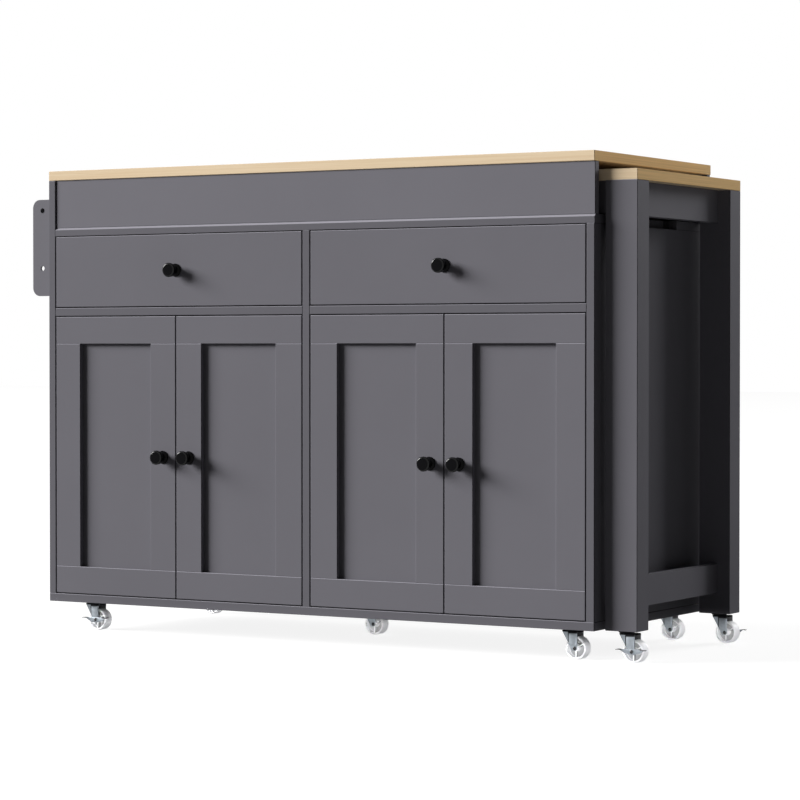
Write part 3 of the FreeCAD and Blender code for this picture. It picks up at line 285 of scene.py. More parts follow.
def turned(name, profile, steps=None, closed=True):
    """A lathe shape about Z from (radius, height) pairs, drawn out ring by ring from a circle.
    With closed off, the last ring is joined back to the first, for a piece with a bore."""
    deselect()
    radius, height = profile[0]
    bpy.ops.mesh.primitive_circle_add(
        vertices=steps or sizes().turned_steps, radius=radius, location=(0, 0, height),
        fill_type="NGON" if closed else "NOTHING")
    piece = bpy.context.object
    piece.name = name
    piece.data.name = name
    settle()
    edit(piece)
    bpy.ops.mesh.select_all(action="SELECT")
    rings = profile[1:] if closed else profile[1:] + profile[:1]
    for next_radius, next_height in rings:
        bpy.ops.mesh.extrude_region_move(
            TRANSFORM_OT_translate={"value": (0, 0, next_height - height)})
        grow = next_radius / radius
        bpy.ops.transform.resize(value=(grow, grow, 1), center_override=(0, 0, next_height))
        radius, height = next_radius, next_height
    bpy.ops.mesh.select_all(action="SELECT")
    bpy.ops.mesh.remove_doubles(threshold=SAME_RING_POINT)
    bpy.ops.mesh.normals_make_consistent(inside=False)
    object_mode()
    bpy.ops.object.shade_smooth_by_angle(angle=radians(TURNED_SMOOTH))
    return piece


def rounded(points, radius):
    """A lathe profile with each corner but its ends replaced by a short curve."""
    out = [points[0]]
    for before, corner, after in zip(points, points[1:], points[2:]):
        a, b, c = Vector(before), Vector(corner), Vector(after)
        reach = min(radius, (a - b).length / 2, (c - b).length / 2)
        start = b + (a - b).normalized() * reach
        end = b + (c - b).normalized() * reach
        for step in range(ROUNDING_STEPS + 1):
            t = step / ROUNDING_STEPS
            point = start.lerp(b, t).lerp(b.lerp(end, t), t)
            out.append((point.x, point.y))
    out.append(points[-1])
    return out


def put(piece, place=(0, 0, 0), turn=(0, 0, 0)):
    """Turn a finished shape by degrees about X, Y and Z and move it, and keep both in its mesh."""
    take(piece)
    piece.rotation_euler = [radians(angle) for angle in turn]
    piece.location = place
    settle()
    return piece


def copy_of(piece, name, shift):
    """A copy with its own mesh, moved by a shift."""
    take(piece)
    bpy.ops.object.duplicate(linked=False)
    twin = bpy.context.object
    twin.name = name
    twin.data.name = name
    return put(twin, shift)


def join(name, pieces):
    """One object of several closed shapes."""
    deselect()
    for piece in pieces:
        piece.select_set(True)
    bpy.context.view_layer.objects.active = pieces[0]
    bpy.ops.object.join()
    piece = bpy.context.object
    piece.name = name
    piece.data.name = name
    return piece


def dress(piece, material, body, slot, *nodes):
    """Give a finished piece its material, its body and the solids that it stands for."""
    piece.data.materials.clear()
    piece.data.materials.append(material)
    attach(piece, body)
    if nodes:
        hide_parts(*nodes)


def trim(piece, material, test):
    """Give a further finish to the faces that pass a test."""
    piece.data.materials.append(material)
    for face in piece.data.polygons:
        if test(face):
            face.material_index = len(piece.data.materials) - 1


def paint_nodes(names, material):
    """Give solids of the frame a finish."""
    for name in names:
        mesh = frame["nodes"][name].data
        mesh.materials.clear()
        mesh.materials.append(material)


# Finishes

# The part of a noise that is spread over a finish's range of tones
NOISE_BAND = (0.3, 0.7)
# Parts of a normal along an axis, where the painted highlight and painted shade on a bevel begin
# and where they are full
BEVEL_BAND = (0.3, 0.6)
# The largest part of a normal along any axis: below this band on bevels, above it on faces
EASED_BAND = (0.80, 0.95)
# Part of a normal along X past which a wooden top's face is an end edge
END_NORMAL = 0.7
# Stretches of the wood's pattern, with its grain along X on the tops and along Y on the end edges
GRAIN_ALONG_X = (1.2, 26.0, 150.0)
GRAIN_ALONG_Y = (26.0, 1.2, 150.0)
# Specular level of paint and wood, which are nearly matt
MATT = 0.015


class Finish:
    """A short way to wire a material's nodes."""

    def __init__(self, name):
        self.material = bpy.data.materials.get(name)
        self.new = self.material is None
        if self.new:
            self.material = bpy.data.materials.new(name)
            self.material.use_nodes = True
            self.tree = self.material.node_tree
            self.shader = self.tree.nodes["Principled BSDF"]
            self.place = self.tree.nodes.new("ShaderNodeTexCoord")

    def add(self, kind, **values):
        """A node with its inputs or its own settings set by name."""
        node = self.tree.nodes.new(kind)
        for key, value in values.items():
            if key in node.inputs:
                node.inputs[key].default_value = value
            else:
                setattr(node, key, value)
        return node

    def link(self, source, target):
        self.tree.links.new(source, target)

    def maths(self, operation, first, second=None):
        """An output of a Math node; the second value is an output, a number or left out."""
        node = self.add("ShaderNodeMath", operation=operation)
        self.link(first, node.inputs[0])
        if isinstance(second, bpy.types.NodeSocket):
            self.link(second, node.inputs[1])
        elif second is not None:
            node.inputs[1].default_value = second
        return node.outputs[0]

    def normal_parts(self, size_only=False):
        """The object normal's parts along X, Y and Z, or their sizes."""
        normal = self.place.outputs["Normal"]
        if size_only:
            size = self.add("ShaderNodeVectorMath", operation="ABSOLUTE")
            self.link(normal, size.inputs[0])
            normal = size.outputs[0]
        parts = self.add("ShaderNodeSeparateXYZ")
        self.link(normal, parts.inputs[0])
        return parts.outputs

    def stretched(self, scale):
        """Object coordinates, stretched along each axis."""
        mapping = self.add("ShaderNodeMapping", Scale=scale)
        self.link(self.place.outputs["Object"], mapping.inputs["Vector"])
        return mapping.outputs["Vector"]

    def noise(self, vector, scale, detail=3.0, rough=0.5, distortion=0.0):
        node = self.add("ShaderNodeTexNoise", Scale=scale, Detail=detail, Roughness=rough,
                        Distortion=distortion)
        self.link(vector, node.inputs["Vector"])
        return node.outputs["Fac"]

    def spread(self, value, band, result=(0.0, 1.0)):
        """The band of a value, spread over the result's range."""
        node = self.add("ShaderNodeMapRange")
        for key, number in zip(("From Min", "From Max", "To Min", "To Max"), (*band, *result)):
            node.inputs[key].default_value = number
        self.link(value, node.inputs["Value"])
        return node.outputs["Result"]

    def blend(self, share, first, second):
        """A colour between two; each is a colour or an output."""
        node = self.add("ShaderNodeMix", data_type="RGBA")
        for index, value in ((0, share), (6, first), (7, second)):
            if isinstance(value, bpy.types.NodeSocket):
                self.link(value, node.inputs[index])
            elif index == 0:
                node.inputs[index].default_value = value
            else:
                node.inputs[index].default_value = (*value[:3], 1)
        return node.outputs[2]

    def eased(self):
        """1 on the narrow bevels, whose normal runs along none of the object's axes, else 0."""
        parts = self.normal_parts(size_only=True)
        largest = self.maths("MAXIMUM", self.maths("MAXIMUM", parts["X"], parts["Y"]), parts["Z"])
        return self.spread(largest, EASED_BAND, (1.0, 0.0))

    def facing(self, axis, band=BEVEL_BAND):
        """0 to 1 as the object normal's part along an axis goes through the band."""
        return self.spread(self.normal_parts()[axis], band)

    def colour(self, output):
        self.link(output, self.shader.inputs["Base Color"])

    def roughness(self, value, band, result):
        self.link(self.spread(value, band, result), self.shader.inputs["Roughness"])

    def bump(self, height, distance, strength):
        node = self.add("ShaderNodeBump", Strength=strength, Distance=distance)
        self.link(height, node.inputs["Height"])
        self.link(node.outputs["Normal"], self.shader.inputs["Normal"])

    def set(self, **values):
        """Values that are the same all over the surface, on the shader's own sockets."""
        for key, value in values.items():
            self.shader.inputs[key.replace("_", " ")].default_value = value


def scaled(colour, factor):
    return tuple(min(1.0, part * factor) for part in colour[:3])


def painted_board(name="fronts", share=1.0):
    """Satin paint on board: a fine orange peel and a faint unevenness in tone and sheen.
    Bevels that face up carry a painted highlight; bevels that face +X, into the gaps, carry painted
    shade.
    """
    finish = Finish("island_paint_" + name)
    if finish.new:
        paint = scaled(colours().paint, share)
        place = finish.place.outputs["Object"]
        cloud = finish.noise(place, scale=3.2, detail=4.0, rough=0.55)
        face = finish.blend(finish.spread(cloud, (0.25, 0.75)), scaled(paint, 0.965),
                            scaled(paint, 1.035))
        # Painted highlight on the bevels that face up
        rubbed = finish.blend(finish.facing("Z"), face, scaled(paint, colours().highlight_share))
        # Painted shade on the bevels that face +X, into the gaps
        edge = finish.blend(finish.facing("X"), rubbed, scaled(paint, colours().gap_shade_share))
        finish.colour(finish.blend(finish.eased(), face, edge))
        sheen = finish.noise(place, scale=26.0, detail=3.0, rough=0.6)
        finish.roughness(sheen, NOISE_BAND, (0.44, 0.54))
        peel = finish.noise(place, scale=1400.0, detail=2.0)
        finish.bump(peel, distance=0.05 * MM, strength=0.12)
        finish.set(Specular_IOR_Level=MATT)
    return finish.material


def pale_wood():
    """Pale wood with its grain along X, and along Y on the end edges, where an edge strip runs.
    The strips are painted lighter on the table side and darker on the rack side: painted light and
    painted shade.
    """
    finish = Finish("island_pale_wood")
    if finish.new:
        sideways = finish.maths("ABSOLUTE", finish.normal_parts()["X"])
        at_end = finish.maths("GREATER_THAN", sideways, END_NORMAL)
        grain_place = finish.add("ShaderNodeMix", data_type="VECTOR")
        finish.link(at_end, grain_place.inputs[0])
        finish.link(finish.stretched(GRAIN_ALONG_X), grain_place.inputs[4])
        finish.link(finish.stretched(GRAIN_ALONG_Y), grain_place.inputs[5])
        place = grain_place.outputs[1]
        streak = finish.noise(place, scale=2.3, detail=6.0, rough=0.62, distortion=0.35)
        pores = finish.noise(place, scale=9.5, detail=3.0, rough=0.7)
        cloud = finish.noise(finish.place.outputs["Object"], scale=2.1, detail=2.0)
        light, dark = colours().wood, colours().grain
        streaks = finish.spread(streak, (0.36, 0.66))
        streaked = finish.blend(streaks, light, finish.blend(0.45, light, dark))
        pored = finish.blend(finish.spread(pores, (0.58, 0.74), (0.0, 0.55)), streaked, dark)
        top = finish.blend(finish.spread(cloud, (0.35, 0.65), (0.0, 0.22)), pored,
                           scaled(light, 1.12))
        # Which end edge: the table side's strip is painted light, the rack side's painted shade
        table_side = finish.facing("X", (-0.1, 0.1))
        rack_strip, edge_strip = colours().rack_strip, colours().edge_strip
        strip = finish.blend(table_side, rack_strip, edge_strip)
        worn = finish.blend(table_side, scaled(rack_strip, 0.84), scaled(edge_strip, 0.84))
        finish.colour(finish.blend(at_end, top, finish.blend(streaks, strip, worn)))
        finish.roughness(pores, (0.35, 0.7), (0.42, 0.55))
        finish.bump(pores, distance=0.08 * MM, strength=0.18)
        finish.set(Specular_IOR_Level=MATT)
    return finish.material


def coating(name, colour, noise, tones, sheen, relief, fine=None, **values):
    """A finish whose tone and roughness follow one noise. A noise is its scale, detail and
    roughness. The relief, a distance and a strength, follows the same noise or a fine one."""
    finish = Finish("island_" + name)
    if finish.new:
        place = finish.place.outputs["Object"]
        grain = finish.noise(place, *noise)
        low, high = (scaled(colour, tone) for tone in tones)
        finish.colour(finish.blend(finish.spread(grain, NOISE_BAND), low, high))
        finish.roughness(grain, NOISE_BAND, sheen)
        finish.bump(finish.noise(place, *fine) if fine else grain, *relief)
        finish.set(**values)
    return finish.material


def black_metal(name="satin", specular=0.05):
    """Black coating with a fine grain, shinier where it is rubbed."""
    return coating(
        "black_" + name, colours().black, noise=(900.0, 2.0, 0.5), tones=(1, 1.8),
        sheen=(0.1, 0.16), relief=(0.03 * MM, 0.1), Specular_IOR_Level=specular)


def zinc_steel():
    """Zinc on pressed sheet: grey, cool, a little cloudy."""
    return coating(
        "zinc_steel", colours().zinc, noise=(160.0, 4.0, 0.6), tones=(0.86, 1.08),
        sheen=(0.34, 0.46), relief=(0.03 * MM, 0.1), fine=(1100.0, 2.0, 0.5), Metallic=0.9)


def black_steel():
    """Dark polished steel of an axle's domed heads, whose dark is a painted reflection of dark
    surroundings, and of a pedal's wings.
    """
    return coating(
        "black_steel", scaled(colours().black, 2), noise=(700.0, 2.0, 0.5), tones=(1, 1.6),
        sheen=(0.14, 0.2), relief=(0.03 * MM, 0.12), Specular_IOR_Level=0.5)


def milky_plastic(name="rims", share=1.0):
    """Milky wheel plastic that lets some light through."""
    return coating(
        "milky_" + name, scaled(colours().plastic, share), noise=(70.0, 3.0, 0.5),
        tones=(0.97, 1), sheen=(0.42, 0.52), relief=(0.04 * MM, 0.1), fine=(500.0, 2.0, 0.5),
        Transmission_Weight=0.25, IOR=1.3)


def black_plastic():
    """Moulded black plastic with a fine texture."""
    return coating(
        "black_plastic", scaled(colours().black, 2.2), noise=(1500.0, 2.0, 0.5), tones=(1, 1.5),
        sheen=(0.45, 0.6), relief=(0.05 * MM, 0.3), Specular_IOR_Level=0.1)


def powder_coat():
    """The boards' grey as a powder coat on sheet steel: a finer, harder texture."""
    return coating(
        "powder_coat", colours().paint, noise=(2600.0, 3.0, 0.6), tones=(0.95, 1.05),
        sheen=(0.42, 0.52), relief=(0.06 * MM, 0.2), Specular_IOR_Level=0.04)


# Operators, one for each group of pieces
class ISLAND_OT_boards(bpy.types.Operator):
    """Paint the cabinet's and the table's boards, the doors and the drawers"""
    bl_idname = "island.boards"
    bl_label = "Boards"

    def execute(self, context):
        case = ["left_side_panel", "right_side_panel", "centre_divider", "bottom_panel",
                "deck_panel", "mid_rails", "back_panel", "shelves"]
        case += ["drawer_box_" + side for side in SIDES]
        # The case's boards are painted darker than the fronts: painted shade
        paint_nodes(case, painted_board("case", colours().case_shade_share))
        fronts = ["table_legs", "table_end_boards", "table_side_rails"]
        fronts += ["drawer_front_" + side for side in SIDES]
        fronts += ["door_%d" % number for number in DOORS]
        paint_nodes(fronts, painted_board())
        # The fascias are painted lighter than the fronts: painted light
        fascias = ["front_fascia", "rear_fascia"]
        paint_nodes(fascias, painted_board("fascias", colours().fascia_light_share))
        return {"FINISHED"}


class ISLAND_OT_tops(bpy.types.Operator):
    """Give the worktop and the table top their wood"""
    bl_idname = "island.tops"
    bl_label = "Wooden tops"

    def execute(self, context):
        paint_nodes(["worktop", "table_top"], pale_wood())
        return {"FINISHED"}


# Knobs. The profile goes from the foot on the board to the face; depths are measured from the face
KNOB_FLANGE_INSET = 1 * MM
KNOB_FLANGE_TOP = 2.4 * MM
KNOB_NECK_SHARE = 0.54
KNOB_FILLET = 1.5 * MM
KNOB_FILLET_TOP = 4.6 * MM
KNOB_NECK_FOOT = 8 * MM
KNOB_NECK_DEPTH = 13 * MM
KNOB_SHOULDER_INSET = 0.4 * MM
KNOB_SHOULDER_DEPTH = 8.5 * MM
KNOB_RIM_DEPTHS = (6 * MM, 1.8 * MM)
KNOB_FACE_INSET = 2.2 * MM
KNOB_ROUNDING = 1.2 * MM
# The rubbed rim: its depth, and the part of the normal along Y past which the face begins
KNOB_RUBBED_DEPTH = 2.4 * MM
KNOB_FACE_NORMAL = -0.97


class ISLAND_OT_knobs(bpy.types.Operator):
    """Turn one knob and copy it to the drawers and the doors"""
    bl_idname = "island.knobs"
    bl_label = "Knobs"

    def execute(self, context):
        low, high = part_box("drawer_knob_left")
        head = (high[0] - low[0]) / 2
        reach = high[1] - low[1]
        flange = head - KNOB_FLANGE_INSET
        neck = head * KNOB_NECK_SHARE
        pattern = turned("knob_pattern", rounded([
            (flange * POLE_SHARE, 0), (flange, 0), (flange, KNOB_FLANGE_TOP),
            (neck + KNOB_FILLET, KNOB_FILLET_TOP), (neck, KNOB_NECK_FOOT),
            (neck, reach - KNOB_NECK_DEPTH),
            (head - KNOB_SHOULDER_INSET, reach - KNOB_SHOULDER_DEPTH),
            (head, reach - KNOB_RIM_DEPTHS[0]), (head, reach - KNOB_RIM_DEPTHS[1]),
            (head - KNOB_FACE_INSET, reach), (head * POLE_SHARE, reach)], KNOB_ROUNDING))
        put(pattern, turn=(90, 0, 0))
        places = [("drawer_knob_" + side, "drawer_" + side) for side in SIDES]
        places += [("door_knob_%d" % number, "door_%d" % number) for number in DOORS]
        for name, body in places:
            low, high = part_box(name)
            centre = middle(low, high)
            knob = copy_of(pattern, "turned_" + name, (centre[0], high[1], centre[2]))
            dress(knob, black_metal(), body, "knob_black", name)
            rim = low[1] + KNOB_RUBBED_DEPTH
            trim(knob, black_metal("rubbed", specular=0.2),
                 lambda face: face.center.y < rim and face.normal.y > KNOB_FACE_NORMAL)
        bpy.data.objects.remove(pattern)
        return {"FINISHED"}


# Screw heads: radii as shares of the head's radius, each with its height
SCREW_PROFILE = ((0.98, -0.6 * MM), (1, 0), (0.82, 0.35 * MM), (0.3, 0.45 * MM))
SCREW_ROUNDING = 0.2 * MM
# The cross recess: half its arms' length and width as shares of the radius, its floor and its top
RECESS_REACH = 0.55
RECESS_HALF = 0.11
RECESS_FLOOR = -0.35 * MM
RECESS_TOP = 2 * MM


def screw_head(name):
    """A countersunk head that looks to +Z, with a cross recess."""
    radius = sizes().screw_radius
    profile = [(radius * share, height) for share, height in SCREW_PROFILE]
    head = turned(name, rounded(profile, SCREW_ROUNDING), steps=32)
    reach, half = radius * RECESS_REACH, radius * RECESS_HALF
    arms = []
    for number in range(2):
        arm = slab(name + "_slot_%d" % number, (-reach, -half, RECESS_FLOOR),
                   (reach, half, RECESS_TOP))
        arms.append(put(arm, turn=(0, 0, 90 * number)))
    for arm in arms:
        drill(head, arm)
    return head


# Towel rack: the plates' sheet, their rounded corners, their holes and the feet that are screwed on
RACK_SHEET = 4.5 * MM
RACK_CORNER = 17 * MM
RACK_CORNER_STEPS = 10
RACK_HOLE = 5 * MM
RACK_FOOT = 22 * MM
RACK_EDGE = 0.5 * MM
# How far a foot reaches into its plate, so that no gap shows between them
RACK_LAP = 0.2 * MM
# Where the screws sit, as shares of the plate's height and of the foot's length
RACK_SCREW_HEIGHTS = (0.12, 0.5, 0.88)
RACK_SCREW_REACH = 0.55
RAIL_ROUNDING = 0.6 * MM


def rack_end(name, low, high, face, inward, levels):
    """One plate with its two holes, and the foot that turns inwards from it along the side."""
    near, far = sorted((face, face + inward * RACK_SHEET))
    plate = slab("rack_plate_" + name, (low.x, near, low.z), (high.x, far, high.z))
    edit(plate)
    pick(plate, "edges", lambda p: p.x < low.x + MM
         and abs((p.y - near) - (far - near) / 2) < MM
         and (abs(p.z - low.z) < MM or abs(p.z - high.z) < MM))
    bpy.ops.mesh.bevel(offset=RACK_CORNER, segments=RACK_CORNER_STEPS, affect="EDGES")
    object_mode()
    for level in levels:
        deselect()
        bpy.ops.mesh.primitive_cylinder_add(
            vertices=48, radius=RACK_HOLE, depth=4 * RACK_SHEET,
            location=((low.x + high.x) / 2, (near + far) / 2, level), rotation=(pi / 2, 0, 0))
        drill(plate, bpy.context.object)
    bevel(plate, RACK_EDGE, smooth=FLAT_SHEET)
    ends = sorted((face + inward * RACK_SHEET, face + inward * (RACK_SHEET + RACK_FOOT)))
    foot = slab("rack_foot_" + name, (high.x - RACK_SHEET, ends[0] - RACK_LAP, low.z),
                (high.x, ends[1], high.z))
    bevel(foot, RACK_EDGE, smooth=FLAT_SHEET)
    return [plate, foot]


class ISLAND_OT_towel_rack(bpy.types.Operator):
    """Press the rack's two end plates, screw them on and put the rail between their upper holes"""
    bl_idname = "island.towel_rack"
    bl_label = "Towel rack"

    def execute(self, context):
        low, high = map(Vector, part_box("rack_end_plates"))
        rail_low, rail_high = map(Vector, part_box("towel_bar"))
        rail_level = (rail_low.z + rail_high.z) / 2
        levels = (rail_level, RECORD_MOUNTS["rack_hole_front"][2])
        plates = []
        for name, face, inward in (("front", low.y, 1), ("rear", high.y, -1)):
            plates += rack_end(name, low, high, face, inward, levels)
        dress(join("rack_plates", plates), powder_coat(), "cabinet", "rack_steel",
              "rack_end_plates")
        screws = []
        pattern = screw_head("rack_screw")
        put(pattern, turn=(0, -90, 0))
        for face, inward in ((low.y, 1), (high.y, -1)):
            for share in RACK_SCREW_HEIGHTS:
                spot = (high.x - RACK_SHEET,
                        face + inward * (RACK_SHEET + RACK_FOOT * RACK_SCREW_REACH),
                        low.z + share * (high.z - low.z))
                screws.append(copy_of(pattern, "rack_screw_%d" % len(screws), spot))
        bpy.data.objects.remove(pattern)
        dress(join("rack_screws", screws), zinc_steel(), "cabinet", "zinc_steel")
        radius = (rail_high.x - rail_low.x) / 2
        length = rail_high.y - rail_low.y
        pole = radius * POLE_SHARE
        rail = turned("towel_rail", rounded(
            [(pole, 0), (radius, 0), (radius, length), (pole, length)], RAIL_ROUNDING), steps=48)
        put(rail, ((low.x + high.x) / 2, rail_high.y, rail_level), (90, 0, 0))
        dress(rail, black_metal(), "cabinet", "bar_steel", "towel_bar")
        return {"FINISHED"}


# The fixed half of a caster: (radius, height) in millimetres, heights from the board's underside
COLLAR_PROFILE = (
    (3.6, 0), (15, 0), (15, -2.6), (13.6, -4), (12, -4), (11.4, -3.4), (3.6, -3.4))
COLLAR_ROUNDING = 0.5 * MM
KINGPIN_PROFILE = (
    (1, 12.9), (4, 12.9), (4, 0.2), (3.5, 0), (3.5, -6.6), (6, -6.6), (6, -8), (4.8, -8.6),
    (1, -8.6))
KINGPIN_ROUNDING = 0.3 * MM


class ISLAND_OT_caster_mounts(bpy.types.Operator):
    """Turn the fixed half of each caster: a dark collar and a kingpin"""
    bl_idname = "island.caster_mounts"
    bl_label = "Caster mounts"

    def execute(self, context):
        collar = turned("collar_pattern", rounded(in_metres(COLLAR_PROFILE), COLLAR_ROUNDING))
        pin = turned("kingpin_pattern", rounded(in_metres(KINGPIN_PROFILE), KINGPIN_ROUNDING),
                     steps=40)
        for group, names in (("cabinet", CABINET_CASTERS), ("table", TABLE_CASTERS)):
            collars, pins = [], []
            for name in names:
                place = joint_place("swivel_" + name)
                collars.append(copy_of(collar, "collar_" + name, place))
                pins.append(copy_of(pin, "kingpin_" + name, place))
            dress(join(group + "_collars", collars), black_plastic(), group, "black_plastic")
            dress(join(group + "_kingpins", pins), zinc_steel(), group, "zinc_steel",
                  group + "_caster_mounts")
        bpy.data.objects.remove(collar)
        bpy.data.objects.remove(pin)
        return {"FINISHED"}


# A fork's sheet, with the swivel axis on Z at the board's underside and the axle behind it, at +X
FORK_INNER = 12 * MM
FORK_SHEET = 2 * MM
FORK_CROWN = -4.3 * MM
FORK_NOSE = -11 * MM
FORK_HEEL = 22 * MM
FORK_CHIN = -41.5 * MM
# The crown's sheet ends at this X, short of the heel
CROWN_END = 15.5 * MM
# Heights of the bridge that joins the cheeks at the heel, and how far it reaches into them
BRIDGE = (-15.4 * MM, -7.7 * MM)
BRIDGE_LAP = 0.4 * MM
BRIDGE_ROUNDING = 0.6 * MM
# The slanted front edge of each cheek: a point on it and its normal
CHEEK_EDGE = ((-6.6 * MM, 0, -8.6 * MM), (-0.86, 0, -0.5))
# The cut corner at the foot of each cheek's rear edge
CHEEK_CORNER = 3.5 * MM
CORNER_NORMAL = (0.7, 0, -0.7)
# The raised strip on each cheek: its inner and outer face, its foot, its top and its rear edge
STRIP_FACES = (13.9 * MM, 14.8 * MM)
STRIP_FOOT = -40.5 * MM
STRIP_TOP = -10.2 * MM
STRIP_HEEL = 21 * MM
STRIP_CORNER = -38 * MM
STRIP_ROUNDING = 0.5 * MM
# The slot in front of the strip, along X
SLOT = (3.5 * MM, 5.4 * MM)
# How far the painted black reaches down from the board: as a painted reflection of the dark board
# on the crown behind the slot and at the bends before it, and as painted shade on what lies between
# the cheeks behind the axle
CROWN_DROP = 9.6 * MM
BEND_DROP = 7.1 * MM
FLANGE_DROP = 16 * MM
# Distances from the fork's middle plane past which a face is on a cheek, and on the axle's heads
CHEEK_INNER = 12.5 * MM
CHEEK_FACE = 14.9 * MM
BOLT_REACH = 3.5 * MM
# The axle: (radius, height) in millimetres, of its flat head from one end and its domed head from
# the other
AXLE_HEAD = ((1, 0), (3.2, 0), (4, 0.8), (4, 2), (2.5, 2))
AXLE_DOME = ((2.5, 2), (4, 2), (4, 1.6), (3.3, 0.7), (2, 0.15), (0.5, 0))
AXLE_ROUNDING = 0.25 * MM


def fork_shell():
    """The bent sheet of a fork: a crown, two cheeks and the bridge at the heel."""
    outer = FORK_INNER + FORK_SHEET
    shell = slab("fork_shell", (FORK_NOSE, -outer, FORK_CHIN), (FORK_HEEL, outer, FORK_CROWN))
    edit(shell)
    pick(shell, "polygons", lambda p: p.z < FORK_CHIN + MM or p.x < FORK_NOSE + MM
         or p.x > FORK_HEEL - MM)
    bpy.ops.mesh.delete(type="ONLY_FACE")
    pick(shell, "edges", lambda p: p.z > FORK_CROWN - NEAR and abs(p.y) > FORK_INNER)
    bpy.ops.mesh.bevel(offset=sizes().bend_radius, segments=4, affect="EDGES")
    bpy.ops.mesh.select_mode(type="VERT")
    cuts = [CHEEK_EDGE + (True,),
            ((FORK_HEEL, 0, FORK_CHIN + CHEEK_CORNER), CORNER_NORMAL, True),
            ((0, 0, -CROWN_DROP), (0, 0, 1), False), ((CROWN_END, 0, 0), (1, 0, 0), False)]
    cuts += [((x, 0, 0), (1, 0, 0), False) for x in SLOT]
    for point, normal, drop in cuts:
        bpy.ops.mesh.select_all(action="SELECT")
        bpy.ops.mesh.bisect(plane_co=point, plane_no=normal, use_fill=False, clear_outer=drop)
    pick(shell, "polygons", lambda p: p.x > CROWN_END and p.z > FORK_CROWN - NEAR
         and abs(p.y) < FORK_INNER / 2)
    bpy.ops.mesh.delete(type="FACE")
    object_mode()
    thicken(shell, FORK_SHEET)
    bevel(shell, sizes().sheet_bevel)
    reach = FORK_INNER + BRIDGE_LAP
    bridge = slab("fork_bridge", (FORK_HEEL - FORK_SHEET, -reach, BRIDGE[0]),
                  (FORK_HEEL, reach, BRIDGE[1]))
    bevel(bridge, BRIDGE_ROUNDING, steps=3)
    return join("fork_shell", [shell, bridge])


def cheek_strips():
    """The raised upright strip on each cheek, cut slantwise at its foot."""
    strips = []
    for side in (-1, 1):
        ends = sorted(side * face for face in STRIP_FACES)
        strip = slab("strip_%d" % (side > 0), (SLOT[1], ends[0], STRIP_FOOT),
                     (STRIP_HEEL, ends[1], STRIP_TOP))
        cut(strip, *CHEEK_EDGE)
        cut(strip, (STRIP_HEEL, 0, STRIP_CORNER), CORNER_NORMAL)
        bevel(strip, STRIP_ROUNDING, steps=3)
        strips.append(strip)
    return strips


def painted_shade_and_reflection_on_fork(spot, place, axle):
    """Whether a spot is painted black: on the crown as a painted reflection of the dark board
    above, and in a cheek's slot and on the flange behind the axle as painted shade.
    """
    behind = spot.x - place.x
    aside = abs(spot.y - place.y)
    crown = spot.z > place.z - (CROWN_DROP if behind > SLOT[0] else BEND_DROP)
    slot = SLOT[0] < behind < SLOT[1] and aside > CHEEK_INNER
    flange = spot.x > axle.x and spot.z > place.z - FLANGE_DROP and aside < CHEEK_INNER
    return crown or slot or flange


def on_axle_head(spot, place, axle):
    around = Vector((spot.x - axle.x, spot.z - axle.z)).length
    return around < BOLT_REACH and abs(spot.y - place.y) > CHEEK_FACE


class ISLAND_OT_caster_forks(bpy.types.Operator):
    """Bend one fork from sheet, rivet its axle and copy it to each caster"""
    bl_idname = "island.caster_forks"
    bl_label = "Caster forks"

    def execute(self, context):
        pattern = join("fork_pattern", [fork_shell()] + cheek_strips())
        for name in CASTERS:
            place = joint_place("swivel_" + name)
            axle = joint_place("wheel_spin_" + name)
            low, high = map(Vector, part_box("caster_fork_" + name))
            length = (place.y - low.y) + (high.y - place.y)
            profile = in_metres(AXLE_HEAD)
            profile += [(radius, length - depth) for radius, depth in in_metres(AXLE_DOME)]
            bolt = turned("axle_" + name, rounded(profile, AXLE_ROUNDING), steps=36)
            put(bolt, (axle.x, high.y, axle.z), (90, 0, 0))
            shell = copy_of(pattern, "fork_" + name, place)
            fork = join("sheet_fork_" + name, [shell, bolt])
            dress(fork, zinc_steel(), "fork_" + name, "zinc_steel", "caster_fork_" + name)
            # The crown, the slots and the flange are painted black: painted reflection and painted
            # shade
            trim(fork, black_plastic(), lambda face: painted_shade_and_reflection_on_fork(face.center, place, axle))
            # The axle's domed heads are painted dark: a painted reflection of dark surroundings
            trim(fork, black_steel(), lambda face: on_axle_head(face.center, place, axle))
        bpy.data.objects.remove(pattern)
        return {"FINISHED"}


# A wheel on its axle: the tread, half the width, the web, the rim and the hub
WHEEL_RADIUS = 21 * MM
WHEEL_HALF = 11 * MM
WEB_HALF = 1.2 * MM
RIM_INNER = 17.2 * MM
RIM_DRAFT = 0.4 * MM
TREAD_EASE = (1.2 * MM, 1.4 * MM)
HUB_BORE = 2.6 * MM
HUB_RADIUS = 6 * MM
HUB_FOOT = 6.3 * MM
HUB_HALF = 11.6 * MM
WHEEL_ROUNDING = 0.6 * MM
# The three ribs on the web: from their far end to their end at the hub, and half their widths
RIB_REACH = (-18.6 * MM, -4.5 * MM)
RIB_HALF = 1.2 * MM
RIB_HALF_WIDTH = 9.6 * MM
RIB_ROUNDING = 0.35 * MM
# What counts as the web: the distance from the axle where it begins, and its margin to the rim
WEB_FROM = 6.5 * MM
WEB_MARGIN = 0.5 * MM


def on_web(spot):
    """Whether a spot, measured from the wheel's middle, is on the thin web between hub and rim."""
    reach = Vector((spot.x, spot.z)).length
    return abs(spot.y) < WEB_HALF + NEAR and WEB_FROM < reach < RIM_INNER - WEB_MARGIN


